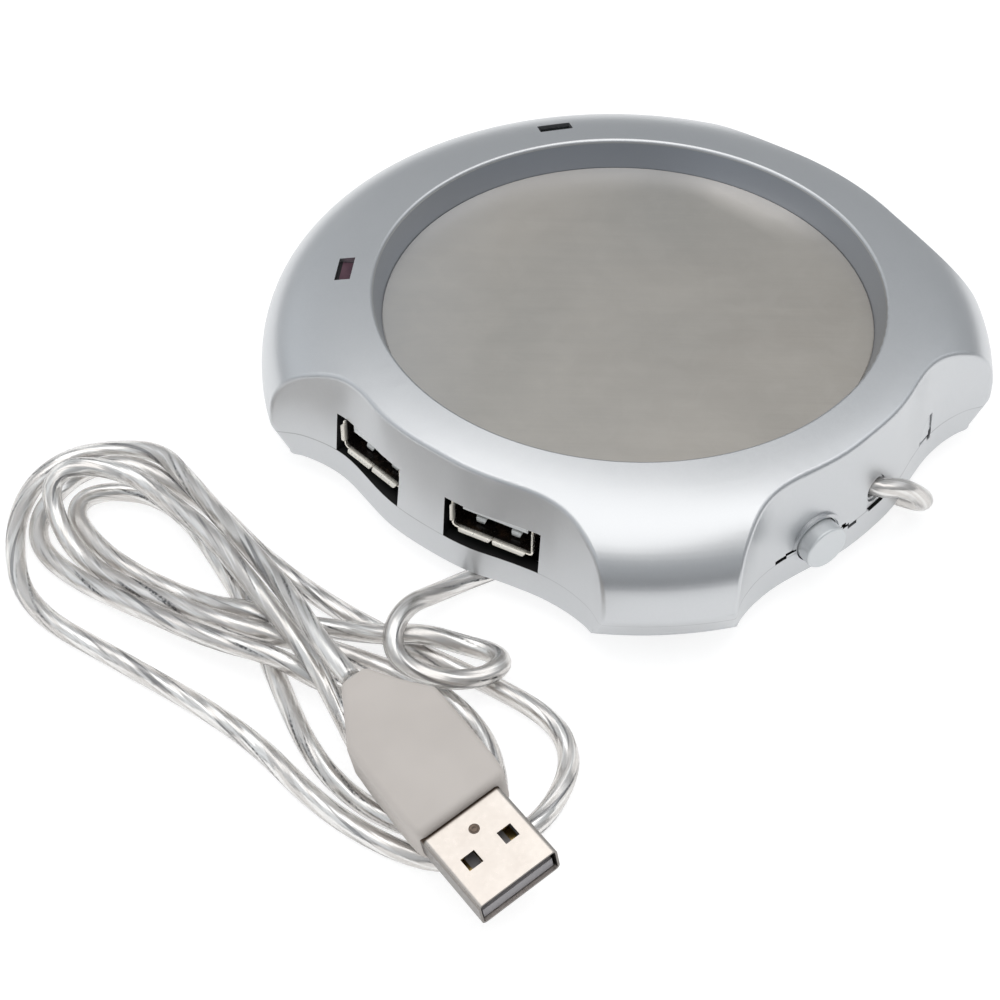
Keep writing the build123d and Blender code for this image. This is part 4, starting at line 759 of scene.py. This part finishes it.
sky = wnode("ShaderNodeTexCoord").outputs["Generated"]
height = wdot((0, 0, 1))
ramp = wnode("ShaderNodeValToRGB")
stops = [(0.0, 0.33), (0.17, 0.36), (0.34, 0.40), (0.50, 0.42), (0.64, 0.455), (0.78, 0.69), (0.89, 0.88), (1.0, 0.90)]
el = ramp.color_ramp.elements
while len(el) < len(stops):
    el.new(0.5)
for e_, (pos, v) in zip(el, stops):
    cool = 0.045 * min(1.0, max(0.0, (0.9 - pos) * 4))
    e_.position, e_.color = pos, (v * (1 - cool), v, v * (1 + cool), 1)
nt.links.new(height, ramp.inputs["Fac"])
front_low = wmath("MULTIPLY", wspan(wdot((-0.829, -0.559, 0)), -0.1, 0.6), wmath("SUBTRACT", 1.0, wspan(height, 0.02, 0.30)))
left = wmath("MULTIPLY", wspan(wdot((-0.62, 0.785, 0)), 0.10, 0.80), wmath("SUBTRACT", 1.0, wspan(height, 0.40, 0.95)))
gain = wmath("MULTIPLY", wmath("MULTIPLY", left, wmath("ADD", wmath("MULTIPLY", wspan(height, 0.0, 0.35), 0.85), 0.15)), 0.95)
spot_right = wmath("MULTIPLY", wspan(wdot((0.622, -0.301, 0.722)), 0.90, 0.985), 1.1)
level = wmath("SUBTRACT", wmath("ADD", wmath("ADD", 1.0, spot_right), gain), wmath("MULTIPLY", front_low, 0.50))
nt.links.new(ramp.outputs["Color"], bg.inputs["Color"])
nt.links.new(level, bg.inputs["Strength"])

def floor_sheet(name, z, glow, tone):
    """White floor sheet: a diffuse surface with some light of its own."""
    me = bpy.data.meshes.new(name)
    me.from_pydata([(-3, -3, z), (3, -3, z), (3, 3, z), (-3, 3, z)], [], [(0, 1, 2, 3)])
    s = Shader(name)
    diff = s.node("ShaderNodeBsdfDiffuse")
    diff.inputs["Color"].default_value = (tone, tone, tone, 1)
    emit = s.node("ShaderNodeEmission")
    emit.inputs["Strength"].default_value = glow
    add = s.node("ShaderNodeAddShader")
    s.link(diff.outputs[0], add.inputs[0])
    s.link(emit.outputs[0], add.inputs[1])
    s.link(add.outputs[0], s.out.inputs["Surface"])
    me.materials.append(s.mat)
    ob = bpy.data.objects.new(name, me)
    bpy.context.scene.collection.objects.link(ob)
    return ob


# the lit sheet that is seen, and under it the softer paper that the object mirrors
floor = floor_sheet("floor", -0.00003, 0.80, 0.34)
floor.visible_glossy = floor.visible_diffuse = floor.visible_shadow = False
paper = floor_sheet("floor_paper", -0.00006, 0.45, 0.72)
paper.visible_camera = paper.visible_transmission = False


def softbox(name, loc, target, size, power, color=(1, 1, 1)):
    light = bpy.data.lights.new(name, "AREA")
    light.shape = "RECTANGLE"
    light.size, light.size_y = size
    light.energy = power
    light.color = color
    ob = bpy.data.objects.new(name, light)
    bpy.context.scene.collection.objects.link(ob)
    ob.location = loc
    ob.rotation_euler = (Vector(target) - Vector(loc)).to_track_quat("-Z", "Y").to_euler()
    ob.visible_camera = False
    return ob


softbox("overhead", (-0.04, 0.11, 0.75), (-0.04, 0.11, 0), (0.72, 0.92), 1.68)

# dark studio floor in front of the table, which the glossy faces towards the camera mirror
me = bpy.data.meshes.new("front_card")
c, t = Vector((-0.829, -0.559, 0)), Vector((0.559, -0.829, 0))
me.from_pydata([tuple(c * d + t * w + Vector((0, 0, 0.0006))) for d, w in ((0.135, -0.5), (0.135, 0.5), (0.9, 0.5), (0.9, -0.5))],
               [], [(0, 1, 2, 3)])
s = Shader("front_card")
e = s.node("ShaderNodeEmission")
e.inputs["Color"].default_value = (0.20, 0.215, 0.24, 1)
s.link(e.outputs[0], s.out.inputs["Surface"])
me.materials.append(s.mat)
card = bpy.data.objects.new("front_card", me)
bpy.context.scene.collection.objects.link(card)
card.visible_camera = card.visible_shadow = card.visible_diffuse = False

sc = bpy.context.scene
sc.view_settings.view_transform = "Standard"
sc.view_settings.look = "None"
sc.view_settings.exposure = 0.0
